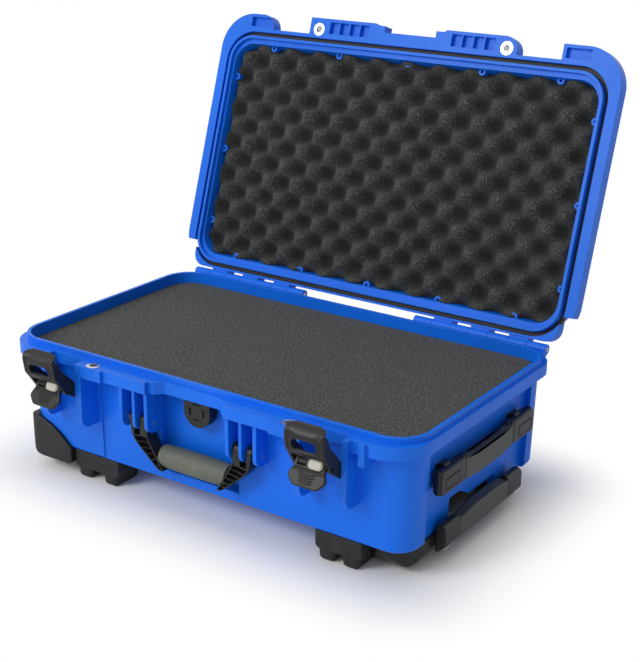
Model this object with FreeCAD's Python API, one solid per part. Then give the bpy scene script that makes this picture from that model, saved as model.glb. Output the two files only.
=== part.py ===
import FreeCAD, Part
import math
import os

os.makedirs("parts", exist_ok=True)

# A wheeled hard case, lid open, in millimetres.
# X runs along the case towards the pull handle, Y towards the hinge, Z up from the floor.
# The origin is on the floor under the middle of the base.

# Case body
inner_half_length = 263.2
inner_half_width = 150.6
rim_height = 155.5
ground_gap = 33.0
wall = 4.2
rim_corner = 34.0
wall_corner = 32.0
floor_corner = 26.0
tongue_thick = 4.0
tongue_rise = 6.5
lip_depth = 12.8
throat_depth = 13.0
throat_inset_end = 9.9
throat_inset_side = 4.0
corner_proud = 0.6
end_wall = 3.3
bottom_round = 5.0
draft_share = 0.03
overrun = 40.0
seat_gap = 0.3
press_gap = 0.02
run_gap = 0.05

# Base flange and front plates
flange_reach = 7.8
flange_front_reach = 16.4
flange_back_reach = 7.2
flange_depth = 13.5
flange_corner = 44.0
panel_reach = 22.4
panel_inner = 52.5
panel_end_inset = 38.5
centre_reach = 7.7
ramp_foot = 37.0
latch_reach = 26.4
latch_outer_reach = 23.4
latch_gap_reach = 7.4
latch_gap_wide = 47.5
latch_end_inset = 64.2
latch_plate_in = 9.0
latch_plate_out = 6.5
latch_plate_drop = 75.5
latch_plate_round = 12.0
rib_root_inset = 10.6
centre_step = 1.5
centre_inset = 12.5
end_panel_inset = 38.6
end_panel_drop = 21.5
corner_hook_inset = 17.0
corner_hook_wide = 7.0
corner_hook_round = 3.0
corner_hook_drop = 12.0
corner_hook_reach = 20.4

# Hinge
hinge_reach = 15.7
hinge_lift = 2.5
hinge_from = 81.0
hinge_end_inset = 8.2
knuckle_count = 7
knuckle_radius = 6.0
web_out_angle = 30.0
web_in_angle = 15.0
knuckle_gap = 0.5
hinge_pin_radius = 2.5
web_drop = 12.5
web_top_reach = 7.8
open_angle = 108.0

# Lid
lid_rise = 73.2
parting_gap = 0.5
lid_reach = 16.6
lid_corner = 46.0
lid_flange_thick = 17.0
lid_back_reach = 7.4
lid_back_inset = 0.2
lid_narrow_inset = 24.6
lid_plate_reach = 29.8
lid_plate_inner = 50.0
lid_centre_reach = 19.7
lid_centre_half = 36.0
lid_corner_reach = 27.4
notch_side_in = 5.7
notch_side_out = 3.5
notch_reach = 9.1
notch_wall = 4.0
notch_wall_rise = 12.0
notch_round = 17.0
catch_thick = 1.3
catch_rise = 2.0
groove_half = 2.6
groove_depth = 10.4
gasket_half = 2.5
gasket_thick = 4.0
lid_ridge = 3.8
ridge_gap = 0.4
ridge_drop = 2.5
ledge_depth = 3.0
ledge_width_end = 2.8
ledge_width_side = 6.2
lid_wall_set_end = 6.0
lid_wall_set_side = 10.0
lid_top_round = 14.0
lid_draft_share = 0.14
lid_panel_deep = 2.0
lid_panel_inset = 34.0
lid_rib_half = 7.0
lid_rib_pitch = 62.0
boss_radius = 4.5
boss_bore = 1.8
boss_depth = 10.0
boss_tall = 12.0
boss_pitch_share = 0.3847
boss_side_share = 0.6375
boss_inset = 2.5
cell_count = 4
cell_deep = 6.0
cell_wide = 13.0
cell_pitch = 15.0
cell_from = 58.0
cell_inset = 18.4
cell_rim = 4.0
corner_cell_near = 4.5
corner_cell_inset = 41.8

# Padlock eyelets
eyelet_inset = 19.5
eyelet_reach = 15.6
eyelet_bore = 4.2
eyelet_wall = 1.2
eyelet_rim = 8.0
eyelet_rim_thick = 1.0

# Foam
foam_gap = 0.4
foam_drop = 6.9
foam_pad_thick = 45.0
lid_foam_depth = 5.5
crate_pitch = 22.0
crate_deep = 17.0
crate_land = 0.5

# Pressure valve
valve_half = 17.5
valve_drop = 28.5
valve_top_drop = 17.9
valve_thick = 13.0
valve_stem = 9.0
valve_stem_share = 0.6
valve_round_share = 0.98
valve_slot_in = 8.0
valve_slot_out = 10.5
valve_slot_deep = 2.0
valve_slot_count = 4
valve_bridge = 5.5
recess_half = 52.9
recess_inset = 14.1
recess_low = 43.0
recess_slope = 6.0
seal_thick = 1.2
seal_radius = 14.0
membrane_radius = 6.0
membrane_thick = 1.0

# Latches
latch_pin_reach = 17.4
latch_pin_drop = 38.5
latch_pin_radius = 2.5
claw_width = 46.4
claw_thick = 5.0
claw_foot_reach = 12.0
claw_foot_rise = 37.6
claw_brow_reach = 11.6
claw_brow_rise = 46.0
claw_crown_reach = 1.0
claw_crown_rise = 65.5
hook_inset = 11.5
hook_top_rise = 63.5
hook_under_rise = 58.8
hook_tooth = 1.3
hook_tooth_rise = 56.6
cheek_thick = 4.4
cheek_inset = 5.0
claw_eye = 5.5
claw_leans = {-1: 39.0, 1: 35.0}
window_half = 14.0
window_low_rise = 44.5
window_high_rise = 58.0
window_round = 5.0
lever_pin_reach = 9.0
lever_pin_rise = 22.0
lever_pin_radius = 1.8
lever_eye = 4.0
lever_gap = 0.5
lever_lean = 30.0
flap_front = 5.0
flap_thick = 4.5
flap_length = 25.0
flap_shoulder = 6.5
flap_taper = 9.0
flap_rib_count = 3
flap_rib_pitch = 3.4
flap_rib_half = 0.7
flap_rib_proud = 0.8
flap_rib_span = 14.0
flap_rib_low = 5.0
lock_length = 20.0
lock_height = 11.0
lock_thick = 4.0
lock_round = 4.0
lock_offset = 7.0

# Front handle
bracket_xs = (53.0, 70.5, 88.5)
bracket_thicks = (4.2, 3.6, 4.5)
bracket_reach = 19.4
bracket_drop = 62.0
bracket_round = 10.5
handle_pin_reach = 7.4
handle_pin_drop = 51.5
handle_pin_radius = 3.0
fork_gap = 0.6
fork_radius = 7.4
arm_reach = 14.9
arm_back_reach = 0.2
arm_web_drop = 16.5
arm_skin = 2.2
arm_fin = 1.4
arm_fin_count = 4
arm_hollow_deep = 9.0
handle_bar_reach = 1.4
handle_bar_z = 66.0
handle_bar_radius = 8.5
handle_grip_radius = 13.4
handle_grip_half = 42.0
arm_end_inner = 37.0
arm_end_low = 52.6
arm_end_outer = 43.0
arm_end_round = 4.0
arm_outer = 82.6
arm_elbow = 86.0
arm_elbow_round = 34.0
arm_inner_round = 10.0
arm_boss_radius = 11.5
arm_boss_length = 9.0
arm_hollow_rise = 10.0
arm_hollow_inner = 45.2
arm_hollow_outer = 51.6
arm_hollow_round = 2.0
arm_hollow_elbow_round = 7.0
arm_slot_gap = 2.2

# Side handle
side_pivot_inset = 1.7
side_pivot_z = 109.0
side_eye = 4.2
side_pin_radius = 1.8
side_pin_in = 66.0
side_pin_out = 90.0
side_lug_in = 72.0
side_lug_out = 84.0
side_lug_gap = 0.5
side_half = 103.0
side_reach = 9.8
side_low = 87.0
side_block_inner = 46.0
side_round = 4.0
side_end_round = 9.0
side_core_low = 92.0
side_core_tall = 11.0
side_core_set = 2.8
side_core_thick = 4.0
side_grip_inset = 0.2
side_grip_low = 84.0
side_grip_high = 111.0
side_bow = 3.0
side_plate_in = 68.0
side_plate_out = 88.0
side_plate_low = 93.0
cap_half_length = 15.0
cap_half_height = 6.5
cap_centre = 81.0
cap_z = 97.5
cap_thick = 1.6
cap_border = 1.2

# Pull handle
rail_y = 70.0
rail_width = 26.0
rail_height = 22.0
rail_wall = 2.0
rail_far_inset = 83.2
rail_inset = 13.2
tube_gap = 0.4
mid_wall = 1.6
inner_wall = 1.4
mid_set_back = 4.0
inner_set_back = 8.0
tube_socket = 8.0
pull_reach = 7.8
pull_inset = 5.2
pull_low = 12.0
pull_high = 46.0
pull_half = 86.0
pull_seam = 54.0
pull_seam_gap = 0.2
pull_round = 6.0
pull_bar_low = 22.0
pull_foot_deep = 7.5
pull_foot_rise = 9.0
pull_bar_rise = 3.5
trigger_half = 22.0
trigger_low = 29.0
trigger_high = 39.0
trigger_deep = 6.0
trigger_proud = 2.5
trigger_round = 2.0
trigger_travel = 4.0
hand_half = 52.0
hand_inset = 20.2
hand_high = 60.0
hand_dip = 48.0
hand_dip_from = -8.0
hand_rise_to = -30.0
hand_wave_round = 14.0
tray_thick = 1.6

# Wheels
wheel_inset = 29.2
wheel_z = 33.0
wheel_radius = 22.0
wheel_side_inset = 22.6
wheel_width = 24.0
tyre_bore = 16.0
tyre_round = 3.0
hub_bearing = 7.0
hub_dish = 4.0
hub_rim = 2.5
axle_radius = 4.0
bearing_width = 7.0
well_z = -30.0
well_radius = 96.6
well_set = 26.0
well_inset = 41.6
well_reach = 4.4
well_wall = 4.0
housing_gap = 0.4
housing_proud = 1.6
housing_low = 14.0
housing_round = 11.0
housing_lean = 4.0
housing_length = 63.0
housing_side_round = 8.0
wheel_room = 3.5
wheel_side_room = 3.0
housing_inset = 12.2

# Feet and corner guards
foot_wheel_inset = 75.7
foot_wheel_length = 67.0
foot_pull_inset = 56.2
foot_pull_length = 57.0
foot_inset = 4.6
foot_back_inset = 42.6
foot_body_low = 12.0
foot_lobe_radius = 10.0
foot_lobe_inset = 14.0
foot_round = 5.0
screw_radius = 2.0
screw_head_radius = 4.0
screw_head_tall = 3.0
screw_bite = 3.0
guard_inset = 55.2
guard_end_inset = 5.7
guard_side_inset = 19.6
guard_inner = 52.0
guard_round = 20.0
guard_corner = 34.0
guard_low = 5.0

# Places that follow from the sizes above
web_out = knuckle_radius * math.cos(math.radians(web_out_angle))
web_in = knuckle_radius * math.cos(math.radians(web_in_angle))
web_in_drop = knuckle_radius * math.sin(math.radians(web_in_angle))
flange_half_length = inner_half_length + flange_reach
latch_outer = inner_half_length - latch_end_inset
latch_inner = latch_outer - latch_gap_wide
panel_outer = latch_inner - panel_end_inset
centre_half = latch_inner - centre_inset
corner_hook_from = latch_outer + corner_hook_inset
hinge_to = inner_half_length - hinge_end_inset
lid_half_length = inner_half_length + lid_reach
lid_back_narrow_half = inner_half_length - lid_back_inset
notch_inner = latch_inner - notch_side_in
notch_outer = latch_outer + notch_side_out
corner_cell_from = notch_outer + corner_cell_near
corner_cell_to = lid_half_length - corner_cell_inset
eyelet_x = latch_inner - eyelet_inset
boss_pitch = inner_half_length * boss_pitch_share
side_pivot_x = inner_half_length - side_pivot_inset
side_front = inner_half_length + side_reach
side_core_back = inner_half_length + side_core_set
side_core_front = side_core_back + side_core_thick
side_core_high = side_core_low + side_core_tall
side_grip_back = inner_half_length - side_grip_inset
pull_front = inner_half_length + pull_reach
pull_back = inner_half_length - pull_inset
hand_back = inner_half_length - hand_inset
rail_to = inner_half_length - rail_inset
rail_from = -inner_half_length + rail_far_inset
wheel_x = inner_half_length - wheel_inset
housing_end = inner_half_length - housing_inset
guard_from = inner_half_length - guard_inset
guard_to = inner_half_length - guard_end_inset
flange_front = inner_half_width + flange_front_reach
flange_back = inner_half_width + flange_back_reach
panel_front = inner_half_width + panel_reach
centre_front = inner_half_width + centre_reach
latch_front = inner_half_width + latch_reach
latch_outer_front = inner_half_width + latch_outer_reach
latch_gap_front = inner_half_width + latch_gap_reach
rib_root = inner_half_width - rib_root_inset
corner_hook_front = inner_half_width + corner_hook_reach
end_panel_half = inner_half_width - end_panel_inset
hinge_y = inner_half_width + hinge_reach
web_top_back = inner_half_width + web_top_reach
lid_back = inner_half_width + lid_back_reach
lid_back_narrow_from = inner_half_width - lid_narrow_inset
lid_plate_front = inner_half_width + lid_plate_reach
lid_centre_front = inner_half_width + lid_centre_reach
lid_corner_front = inner_half_width + lid_corner_reach
notch_front = inner_half_width + notch_reach
cell_back = lid_plate_front - cell_inset
eyelet_y = inner_half_width + eyelet_reach
boss_side_pitch = inner_half_width * boss_side_share
latch_pin_y = inner_half_width + latch_pin_reach
claw_foot_y = latch_pin_y + claw_foot_reach
claw_brow_y = latch_pin_y + claw_brow_reach
claw_crown_y = latch_pin_y + claw_crown_reach
hook_back = latch_pin_y - hook_inset
cheek_back = latch_pin_y - cheek_inset
lever_pin_y = latch_pin_y + lever_pin_reach
bracket_front = inner_half_width + bracket_reach
handle_pin_y = inner_half_width + handle_pin_reach
arm_front = inner_half_width + arm_reach
arm_back = inner_half_width + arm_back_reach
handle_bar_y = inner_half_width + handle_bar_reach
wheel_y = inner_half_width - wheel_side_inset
well_inner = inner_half_width - well_inset
well_outer = inner_half_width + well_reach
foot_front = inner_half_width - foot_inset
foot_back = inner_half_width - foot_back_inset
guard_outer = inner_half_width - guard_side_inset
end_panel_top = rim_height - end_panel_drop
latch_plate_low = rim_height - latch_plate_drop
foam_top = rim_height - foam_drop
valve_mid = rim_height - valve_drop
valve_top = rim_height - valve_top_drop
latch_pin_z = rim_height - latch_pin_drop
claw_foot_z = latch_pin_z + claw_foot_rise
claw_brow_z = latch_pin_z + claw_brow_rise
claw_crown_z = latch_pin_z + claw_crown_rise
hook_top = latch_pin_z + hook_top_rise
hook_under = latch_pin_z + hook_under_rise
hook_tooth_low = latch_pin_z + hook_tooth_rise
window_low = latch_pin_z + window_low_rise
window_high = latch_pin_z + window_high_rise
lever_pin_z = latch_pin_z + lever_pin_rise
bracket_low = rim_height - bracket_drop
handle_pin_z = rim_height - handle_pin_drop
arm_web_top = handle_pin_z - arm_web_drop
well_x = wheel_x + well_set
housing_near = housing_end - housing_length
recess_y = inner_half_width - recess_inset
foot_wheel_x = foot_wheel_inset - inner_half_length
foot_pull_x = inner_half_length - foot_pull_inset
foot_spans = ((foot_wheel_x, foot_wheel_x + foot_wheel_length), (foot_pull_x - foot_pull_length, foot_pull_x))
tongue_top = rim_height + tongue_rise
flange_low = rim_height - flange_depth
throat_z = rim_height - throat_depth
cavity_floor = ground_gap + wall
throat_half_length = inner_half_length - throat_inset_end
throat_half_width = inner_half_width - throat_inset_side
wall_half_length = inner_half_length + corner_proud
wall_half_width = throat_half_width + wall
end_panel_x = throat_half_length + end_wall
wheel_end_set = wall_half_length - end_panel_x
hinge_z = rim_height + hinge_lift
lid_low = rim_height + parting_gap
lid_top = rim_height + lid_rise
lid_flange_top = lid_low + lid_flange_thick
groove_half_length = inner_half_length + tongue_thick / 2
groove_half_width = inner_half_width + tongue_thick / 2
groove_corner = rim_corner + tongue_thick / 2
ledge_z = lid_low + ledge_depth
ledge_half_length = groove_half_length - groove_half - lid_ridge
ledge_half_width = groove_half_width - groove_half - lid_ridge
ledge_corner = groove_corner - groove_half - lid_ridge
lid_cavity_half_length = ledge_half_length - ledge_width_end
lid_cavity_half_width = ledge_half_width - ledge_width_side
lid_cavity_corner = ledge_corner - ledge_width_end
lid_wall_half_length = lid_cavity_half_length + lid_wall_set_end
lid_wall_half_width = lid_cavity_half_width + lid_wall_set_side
latch_centre = (latch_inner + latch_outer) / 2

X_AXIS = FreeCAD.Vector(1, 0, 0)
Y_AXIS = FreeCAD.Vector(0, 1, 0)
Z_AXIS = FreeCAD.Vector(0, 0, 1)


# Shape helpers

def block(x0, x1, y0, y1, z0, z1):
    return Part.makeBox(x1 - x0, y1 - y0, z1 - z0, FreeCAD.Vector(x0, y0, z0))


def rod(axis, x, y, z, radius, length):
    return Part.makeCylinder(radius, length, FreeCAD.Vector(x, y, z), axis)


def place_xy(u, v, level):
    return FreeCAD.Vector(u, v, level)


def place_yz(u, v, level):
    return FreeCAD.Vector(level, u, v)


def place_xz(u, v, level):
    return FreeCAD.Vector(u, level, v)


def outline(points, place, level):
    """A closed wire through (u, v, corner radius) points, with each corner rounded by its radius."""
    corners = []
    count = len(points)
    for i, (u, v, radius) in enumerate(points):
        here = FreeCAD.Vector(u, v, 0)
        before = FreeCAD.Vector(points[i - 1][0], points[i - 1][1], 0) - here
        after = FreeCAD.Vector(points[(i + 1) % count][0], points[(i + 1) % count][1], 0) - here
        before.normalize()
        after.normalize()
        turn = before.getAngle(after)
        reach = radius / math.tan(turn / 2) if radius else 0
        middle = before + after
        if radius:
            middle.normalize()
            middle = here + middle * (radius / math.sin(turn / 2) - radius)
        corners.append((here + before * reach, middle, here + after * reach, radius))
    edges = []
    for i, (start, middle, end, radius) in enumerate(corners):
        if radius:
            arc = [place(p.x, p.y, level) for p in (start, middle, end)]
            edges.append(Part.Arc(*arc).toShape())
        following = corners[(i + 1) % count][0]
        if (following - end).Length > press_gap / 2:
            edges.append(Part.LineSegment(place(end.x, end.y, level),
                                          place(following.x, following.y, level)).toShape())
    return Part.Wire(edges)


def prism(points, place, start, end):
    """The outline's area, carried from one level to another."""
    return Part.Face(outline(points, place, start)).extrude(place(0, 0, end - start))


def rectangle(x0, x1, y0, y1, radius):
    return [(x0, y0, radius), (x1, y0, radius), (x1, y1, radius), (x0, y1, radius)]


def slab(half_length, half_width, radius, z0, z1):
    return prism(rectangle(-half_length, half_length, -half_width, half_width, radius), place_xy, z0, z1)


def stack(sections):
    """A solid through rounded rectangles of (half length, half width, corner radius, height)."""
    wires = []
    for half_length, half_width, radius, z in sections:
        points = rectangle(-half_length, half_length, -half_width, half_width, radius)
        wires.append(outline(points, place_xy, z))
    return Part.makeLoft(wires, True, True)


def fuse(shapes):
    return shapes[0].multiFuse(shapes[1:]).removeSplitter()


def cut(shape, tools):
    return shape.cut(tools).removeSplitter()


def mirror_x(shape):
    return shape.mirror(FreeCAD.Vector(0, 0, 0), X_AXIS)


def mirror_y(shape):
    return shape.mirror(FreeCAD.Vector(0, 0, 0), Y_AXIS)


def turned(shape, y, z, degrees):
    copy = shape.copy()
    copy.rotate(FreeCAD.Vector(0, y, z), X_AXIS, degrees)
    return copy


def opened(shape):
    """A lid piece, drawn closed, swung open about the hinge."""
    return turned(shape, hinge_y, hinge_z, -open_angle)


def save(shape, node):
    shape.exportStep("parts/" + node + ".step")


def round_edges(shape, radius, test):
    """Round the edges whose middle point passes the test."""
    chosen = []
    for edge in shape.Edges:
        middle = edge.valueAt((edge.FirstParameter + edge.LastParameter) / 2)
        if test(middle):
            chosen.append(edge)
    return shape.makeFillet(radius, chosen)


# Base shell

def envelope(grow):
    """The outside of the base below its flange, grown evenly."""
    height = flange_low - ground_gap
    low = ground_gap - grow
    shrink = draft_share * height
    half = wall_half_length - wheel_end_set / 2 + grow
    body = stack([
        (half - shrink, wall_half_width - shrink + grow, floor_corner + grow, low),
        (half, wall_half_width + grow, wall_corner + grow, flange_low),
    ])
    body.translate(FreeCAD.Vector(wheel_end_set / 2, 0, 0))
    return round_edges(body, bottom_round, lambda p: p.z < low + press_gap)


def cavity_sections(inset):
    fall = draft_share * (throat_z - cavity_floor)
    return [
        (throat_half_length - fall - inset, throat_half_width - fall - inset, floor_corner - wall,
         cavity_floor + inset),
        (throat_half_length - inset, throat_half_width - inset, floor_corner, throat_z),
        (inner_half_length - inset, inner_half_width - inset, rim_corner, rim_height - lip_depth),
        (inner_half_length - inset, inner_half_width - inset, rim_corner, tongue_top),
    ]


def upright_plate(x0, x1, front, low, high, corner):
    points = [(-rib_root, low, 0), (-front, low, corner), (-front, high, 0), (-rib_root, high, 0)]
    return prism(points, place_yz, x0, x1)


def front_flange():
    main = prism(rectangle(-flange_half_length, flange_half_length, -flange_front, flange_back,
                           flange_corner), place_xy, flange_low, rim_height)
    back_corners = block(-flange_half_length, flange_half_length, 0, flange_back, flange_low, rim_height)
    end_rim = prism(rectangle(-flange_half_length, flange_half_length, -flange_back, flange_back,
                              wall_corner), place_xy, flange_low, rim_height)
    pieces = [main, end_rim.common(back_corners)]
    for side in (-1, 1):
        panel = [(side * panel_inner, -panel_front, 0), (side * panel_outer, -panel_front, 0),
                 (side * panel_outer, -latch_front, 0), (side * latch_inner, -latch_front, 0),
                 (side * latch_inner, -rib_root, 0), (side * panel_inner, -rib_root, 0)]
        pieces.append(prism(panel, place_xy, flange_low, rim_height))
        outer = sorted((side * latch_outer, side * (latch_outer + latch_plate_out)))
        pieces.append(block(*outer, -latch_outer_front, -rib_root, flange_low, rim_height))
    flange = fuse(pieces)
    centre = [(-panel_inner, -panel_front, 0), (-ramp_foot, -centre_front, 0),
              (ramp_foot, -centre_front, 0), (panel_inner, -panel_front, 0),
              (panel_inner, -panel_front - overrun, 0), (-panel_inner, -panel_front - overrun, 0)]
    tools = [prism(centre, place_xy, flange_low - overrun, rim_height + overrun)]
    for side in (-1, 1):
        gap = sorted((side * latch_inner, side * latch_outer))
        tools.append(block(*gap, -latch_front - overrun, -latch_gap_front,
                           flange_low - overrun, rim_height + overrun))
    return cut(flange, tools)


def base_knuckle(x0, x1):
    points = [(flange_back - wall, hinge_z - web_drop - hinge_lift, 0),
              (hinge_y + web_out, hinge_z - knuckle_radius / 2, 0),
              (hinge_y, hinge_z, 0),
              (hinge_y - web_in,
               hinge_z - web_in_drop, 0),
              (web_top_back, rim_height, 0),
              (flange_back - wall, rim_height, 0)]
    web = prism(points, place_yz, x0, x1)
    return fuse([web, rod(X_AXIS, x0, hinge_y, hinge_z, knuckle_radius, x1 - x0)])


def lid_knuckle(x0, x1):
    low = lid_low + knuckle_gap
    points = [(lid_back - wall, low, 0), (hinge_y - web_in, low, 0),
              (hinge_y, hinge_z, 0),
              (hinge_y + web_out, hinge_z + knuckle_radius / 2, 0),
              (hinge_y - knuckle_radius, lid_flange_top, 0), (lid_back - wall, lid_flange_top, 0)]
    web = prism(points, place_yz, x0, x1)
    return fuse([web, rod(X_AXIS, x0, hinge_y, hinge_z, knuckle_radius, x1 - x0)])


def knuckle_spans(parity):
    """The knuckles of one half of the hinge on both sides of the gap in the middle."""
    pitch = (hinge_to - hinge_from) / knuckle_count
    spans = []
    for index in range(knuckle_count):
        if index % 2 == parity:
            near = hinge_from + index * pitch + knuckle_gap / 2
            far = near + pitch - knuckle_gap
            spans += [(near, far), (-far, -near)]
    return spans


def hinge_bore():
    return rod(X_AXIS, -hinge_to, hinge_y, hinge_z, hinge_pin_radius + run_gap, 2 * hinge_to)


def well(grow):
    """The two round wheel wells, grown evenly."""
    inner = well_inner - grow
    front = rod(Y_AXIS, -well_x, -well_outer, well_z, well_radius + grow, well_outer - inner)
    return front.fuse(mirror_y(front))


def hand_recess(grow):
    """The room for fingers behind the pull bar, grown evenly."""
    half = hand_half + grow
    top = hand_high + grow
    dip = hand_dip + grow
    return prism([(-half, ground_gap - overrun, 0), (half, ground_gap - overrun, 0), (half, dip, 0),
                  (hand_dip_from, dip, hand_wave_round), (hand_rise_to, top, hand_wave_round),
                  (-half, top, 0)], place_yz, hand_back - grow, end_panel_x + overrun)


def handle_recess(grow):
    """The hollow in the front wall behind the carry handle, grown evenly."""
    back = -recess_y + grow
    low = recess_low - grow
    return prism([(-wall_half_width - overrun, low, 0), (-wall_half_width, low, 0),
                  (back, low + recess_slope, 0), (back, flange_low + grow, 0),
                  (-wall_half_width - overrun, flange_low + grow, 0)], place_yz,
                 -recess_half - grow, recess_half + grow)


def base_shell():
    pieces = [envelope(0), front_flange()]
    for side in (-1, 1):
        inner = sorted((side * (latch_inner - latch_plate_in), side * latch_inner))
        outer = sorted((side * latch_outer, side * (latch_outer + latch_plate_out)))
        pieces.append(upright_plate(*inner, latch_front, latch_plate_low, rim_height, latch_plate_round))
        pieces.append(upright_plate(*outer, latch_outer_front, latch_plate_low, rim_height,
                                    latch_plate_round))
        hook = sorted((side * corner_hook_from, side * (corner_hook_from + corner_hook_wide)))
        pieces.append(upright_plate(*hook, corner_hook_front, flange_low - corner_hook_drop, rim_height,
                                    corner_hook_round))
        for x, thick in zip(bracket_xs, bracket_thicks):
            span = sorted((side * x, side * (x + thick)))
            pieces.append(upright_plate(*span, bracket_front, bracket_low, rim_height, bracket_round))
    for x0, x1 in knuckle_spans(0):
        pieces.append(base_knuckle(x0, x1))
    tongue = slab(inner_half_length + tongue_thick, inner_half_width + tongue_thick,
                  rim_corner + tongue_thick, flange_low, tongue_top)
    shell = fuse(pieces + [tongue])
    fall = draft_share * (end_panel_top - ground_gap)
    end_panel = prism([(end_panel_x - fall, ground_gap, 0),
                       (end_panel_x, end_panel_top, 0), (end_panel_x + overrun, end_panel_top, 0),
                       (end_panel_x + overrun, ground_gap - overrun, 0), (end_panel_x - fall,
                       ground_gap - overrun, 0)], place_xz, -end_panel_half, end_panel_half)
    step_y = wall_half_width - centre_step
    step_fall = draft_share * (flange_low - ground_gap)
    centre_wall = prism([(-step_y, flange_low, 0), (-step_y + step_fall, ground_gap, 0),
                         (-step_y + step_fall, ground_gap - overrun, 0),
                         (-step_y - overrun, ground_gap - overrun, 0), (-step_y - overrun, flange_low, 0)],
                        place_yz, -centre_half, centre_half)
    keep = []
    for side in (-1, 1):
        for x, thick in zip(bracket_xs, bracket_thicks):
            span = sorted((side * x, side * (x + thick)))
            keep.append(upright_plate(*span, bracket_front, bracket_low, rim_height, bracket_round))
    centre_wall = centre_wall.cut(keep)
    tools = [end_panel, centre_wall, stack(cavity_sections(0)), hinge_bore()]
    shell = cut(shell, tools)
    body = envelope(0).cut([end_panel, centre_wall])
    rooms = (well, hand_recess, handle_recess)
    bumps = [room(well_wall).common(body) for room in rooms]
    shell = cut(fuse([shell] + bumps), [room(0) for room in rooms])
    holes = []
    for side in (-1, 1):
        holes += eyelet_seat(side, rim_height, flange_low)
        holes.append(latch_pin_bore(side))
        span = sorted((side * bracket_xs[0], side * (bracket_xs[2] + bracket_thicks[2])))
        holes.append(rod(X_AXIS, span[0], -handle_pin_y, handle_pin_z, handle_pin_radius + press_gap,
                         span[1] - span[0]))
    holes.append(rod(Y_AXIS, 0, -wall_half_width - overrun, valve_mid, valve_stem + press_gap,
                     overrun + wall_half_width - recess_y + well_wall))
    for x, y in foot_screw_places():
        holes.append(rod(Z_AXIS, x, y, ground_gap - wall, screw_radius + press_gap, wall + screw_bite))
    return cut(shell, holes)


def latch_pin_bore(side):
    length = latch_outer - latch_inner + latch_plate_in
    start = side * latch_centre - length / 2
    return rod(X_AXIS, start, -latch_pin_y, latch_pin_z, latch_pin_radius + press_gap, length)


def eyelet_seat(side, face, far):
    """Room for one eyelet, its rim flush with the mating face."""
    low = min(face, far)
    rim_low = face - eyelet_rim_thick if face > far else face
    radius = eyelet_bore + eyelet_wall + press_gap
    seat = rod(Z_AXIS, side * eyelet_x, -eyelet_y, low, radius, abs(face - far))
    rim = rod(Z_AXIS, side * eyelet_x, -eyelet_y, rim_low, eyelet_rim + press_gap, eyelet_rim_thick)
    return [seat, rim]


def eyelets(face, far):
    """Two flanged steel rings, flush with the mating face."""
    rings = []
    up = face > far
    for side in (-1, 1):
        low = min(face, far)
        tube = rod(Z_AXIS, side * eyelet_x, -eyelet_y, low, eyelet_bore + eyelet_wall, abs(face - far))
        rim_low = face - eyelet_rim_thick if up else face
        rim = rod(Z_AXIS, side * eyelet_x, -eyelet_y, rim_low, eyelet_rim, eyelet_rim_thick)
        bore = rod(Z_AXIS, side * eyelet_x, -eyelet_y, low - overrun, eyelet_bore,
                   abs(face - far) + 2 * overrun)
        rings.append(cut(fuse([tube, rim]), [bore]))
    return Part.makeCompound(rings)


# Foam and pressure valve

def base_foam():
    sections = cavity_sections(foam_gap)
    block_top = foam_top
    low, throat, lip = sections[:3]
    top = lip[:3] + (block_top,)
    split = low[3] + foam_pad_thick
    share = (split - low[3]) / (throat[3] - low[3])
    middle = [a + (b - a) * share for a, b in zip(low[:3], throat[:3])] + [split]
    clear = [room(well_wall + foam_gap) for room in (well, hand_recess, handle_recess)]
    pad = cut(stack([low, middle]), clear)
    upper = cut(stack([middle, throat, lip, top]), clear)
    return pad, upper


def valve_outline(half):
    share = (valve_top - valve_mid) / valve_half
    top = valve_mid + half * share
    return [(-half, top, 0), (half, top, 0), (half, valve_mid - half, half * valve_round_share),
            (-half, valve_mid - half, half * valve_round_share)]


def valve():
    seat = recess_y + seal_thick
    front = seat + valve_thick
    body = prism(valve_outline(valve_half), place_xz, -front, -seat)
    stem = rod(Y_AXIS, 0, -seat, valve_mid, valve_stem, seal_thick + wall * valve_stem_share)
    bore = rod(Y_AXIS, 0, -front + valve_slot_deep + wall / 2, valve_mid, membrane_radius,
               overrun)
    slots = rod(Y_AXIS, 0, -front, valve_mid, valve_slot_out, valve_slot_deep)
    slots = slots.cut(rod(Y_AXIS, 0, -front, valve_mid, valve_slot_in, valve_slot_deep))
    bridges = []
    for index in range(valve_slot_count):
        bridge = block(-valve_bridge / 2, valve_bridge / 2, -front, -front + valve_slot_deep,
                       valve_mid, valve_mid + valve_half)
        bridge.rotate(FreeCAD.Vector(0, 0, valve_mid), Y_AXIS, 360 * (index + 1 / 2) / valve_slot_count)
        bridges.append(bridge)
    slots = slots.cut(bridges)
    body = cut(fuse([body, stem]), [bore, slots])
    membrane_y = -front + valve_slot_deep + wall / 2
    membrane = rod(Y_AXIS, 0, membrane_y, valve_mid, membrane_radius - press_gap, membrane_thick)
    seal = rod(Y_AXIS, 0, -seat, valve_mid, seal_radius, seal_thick)
    seal = seal.cut(rod(Y_AXIS, 0, -seat, valve_mid, valve_stem + press_gap, seal_thick))
    return body, membrane, seal


# Lid

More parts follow.
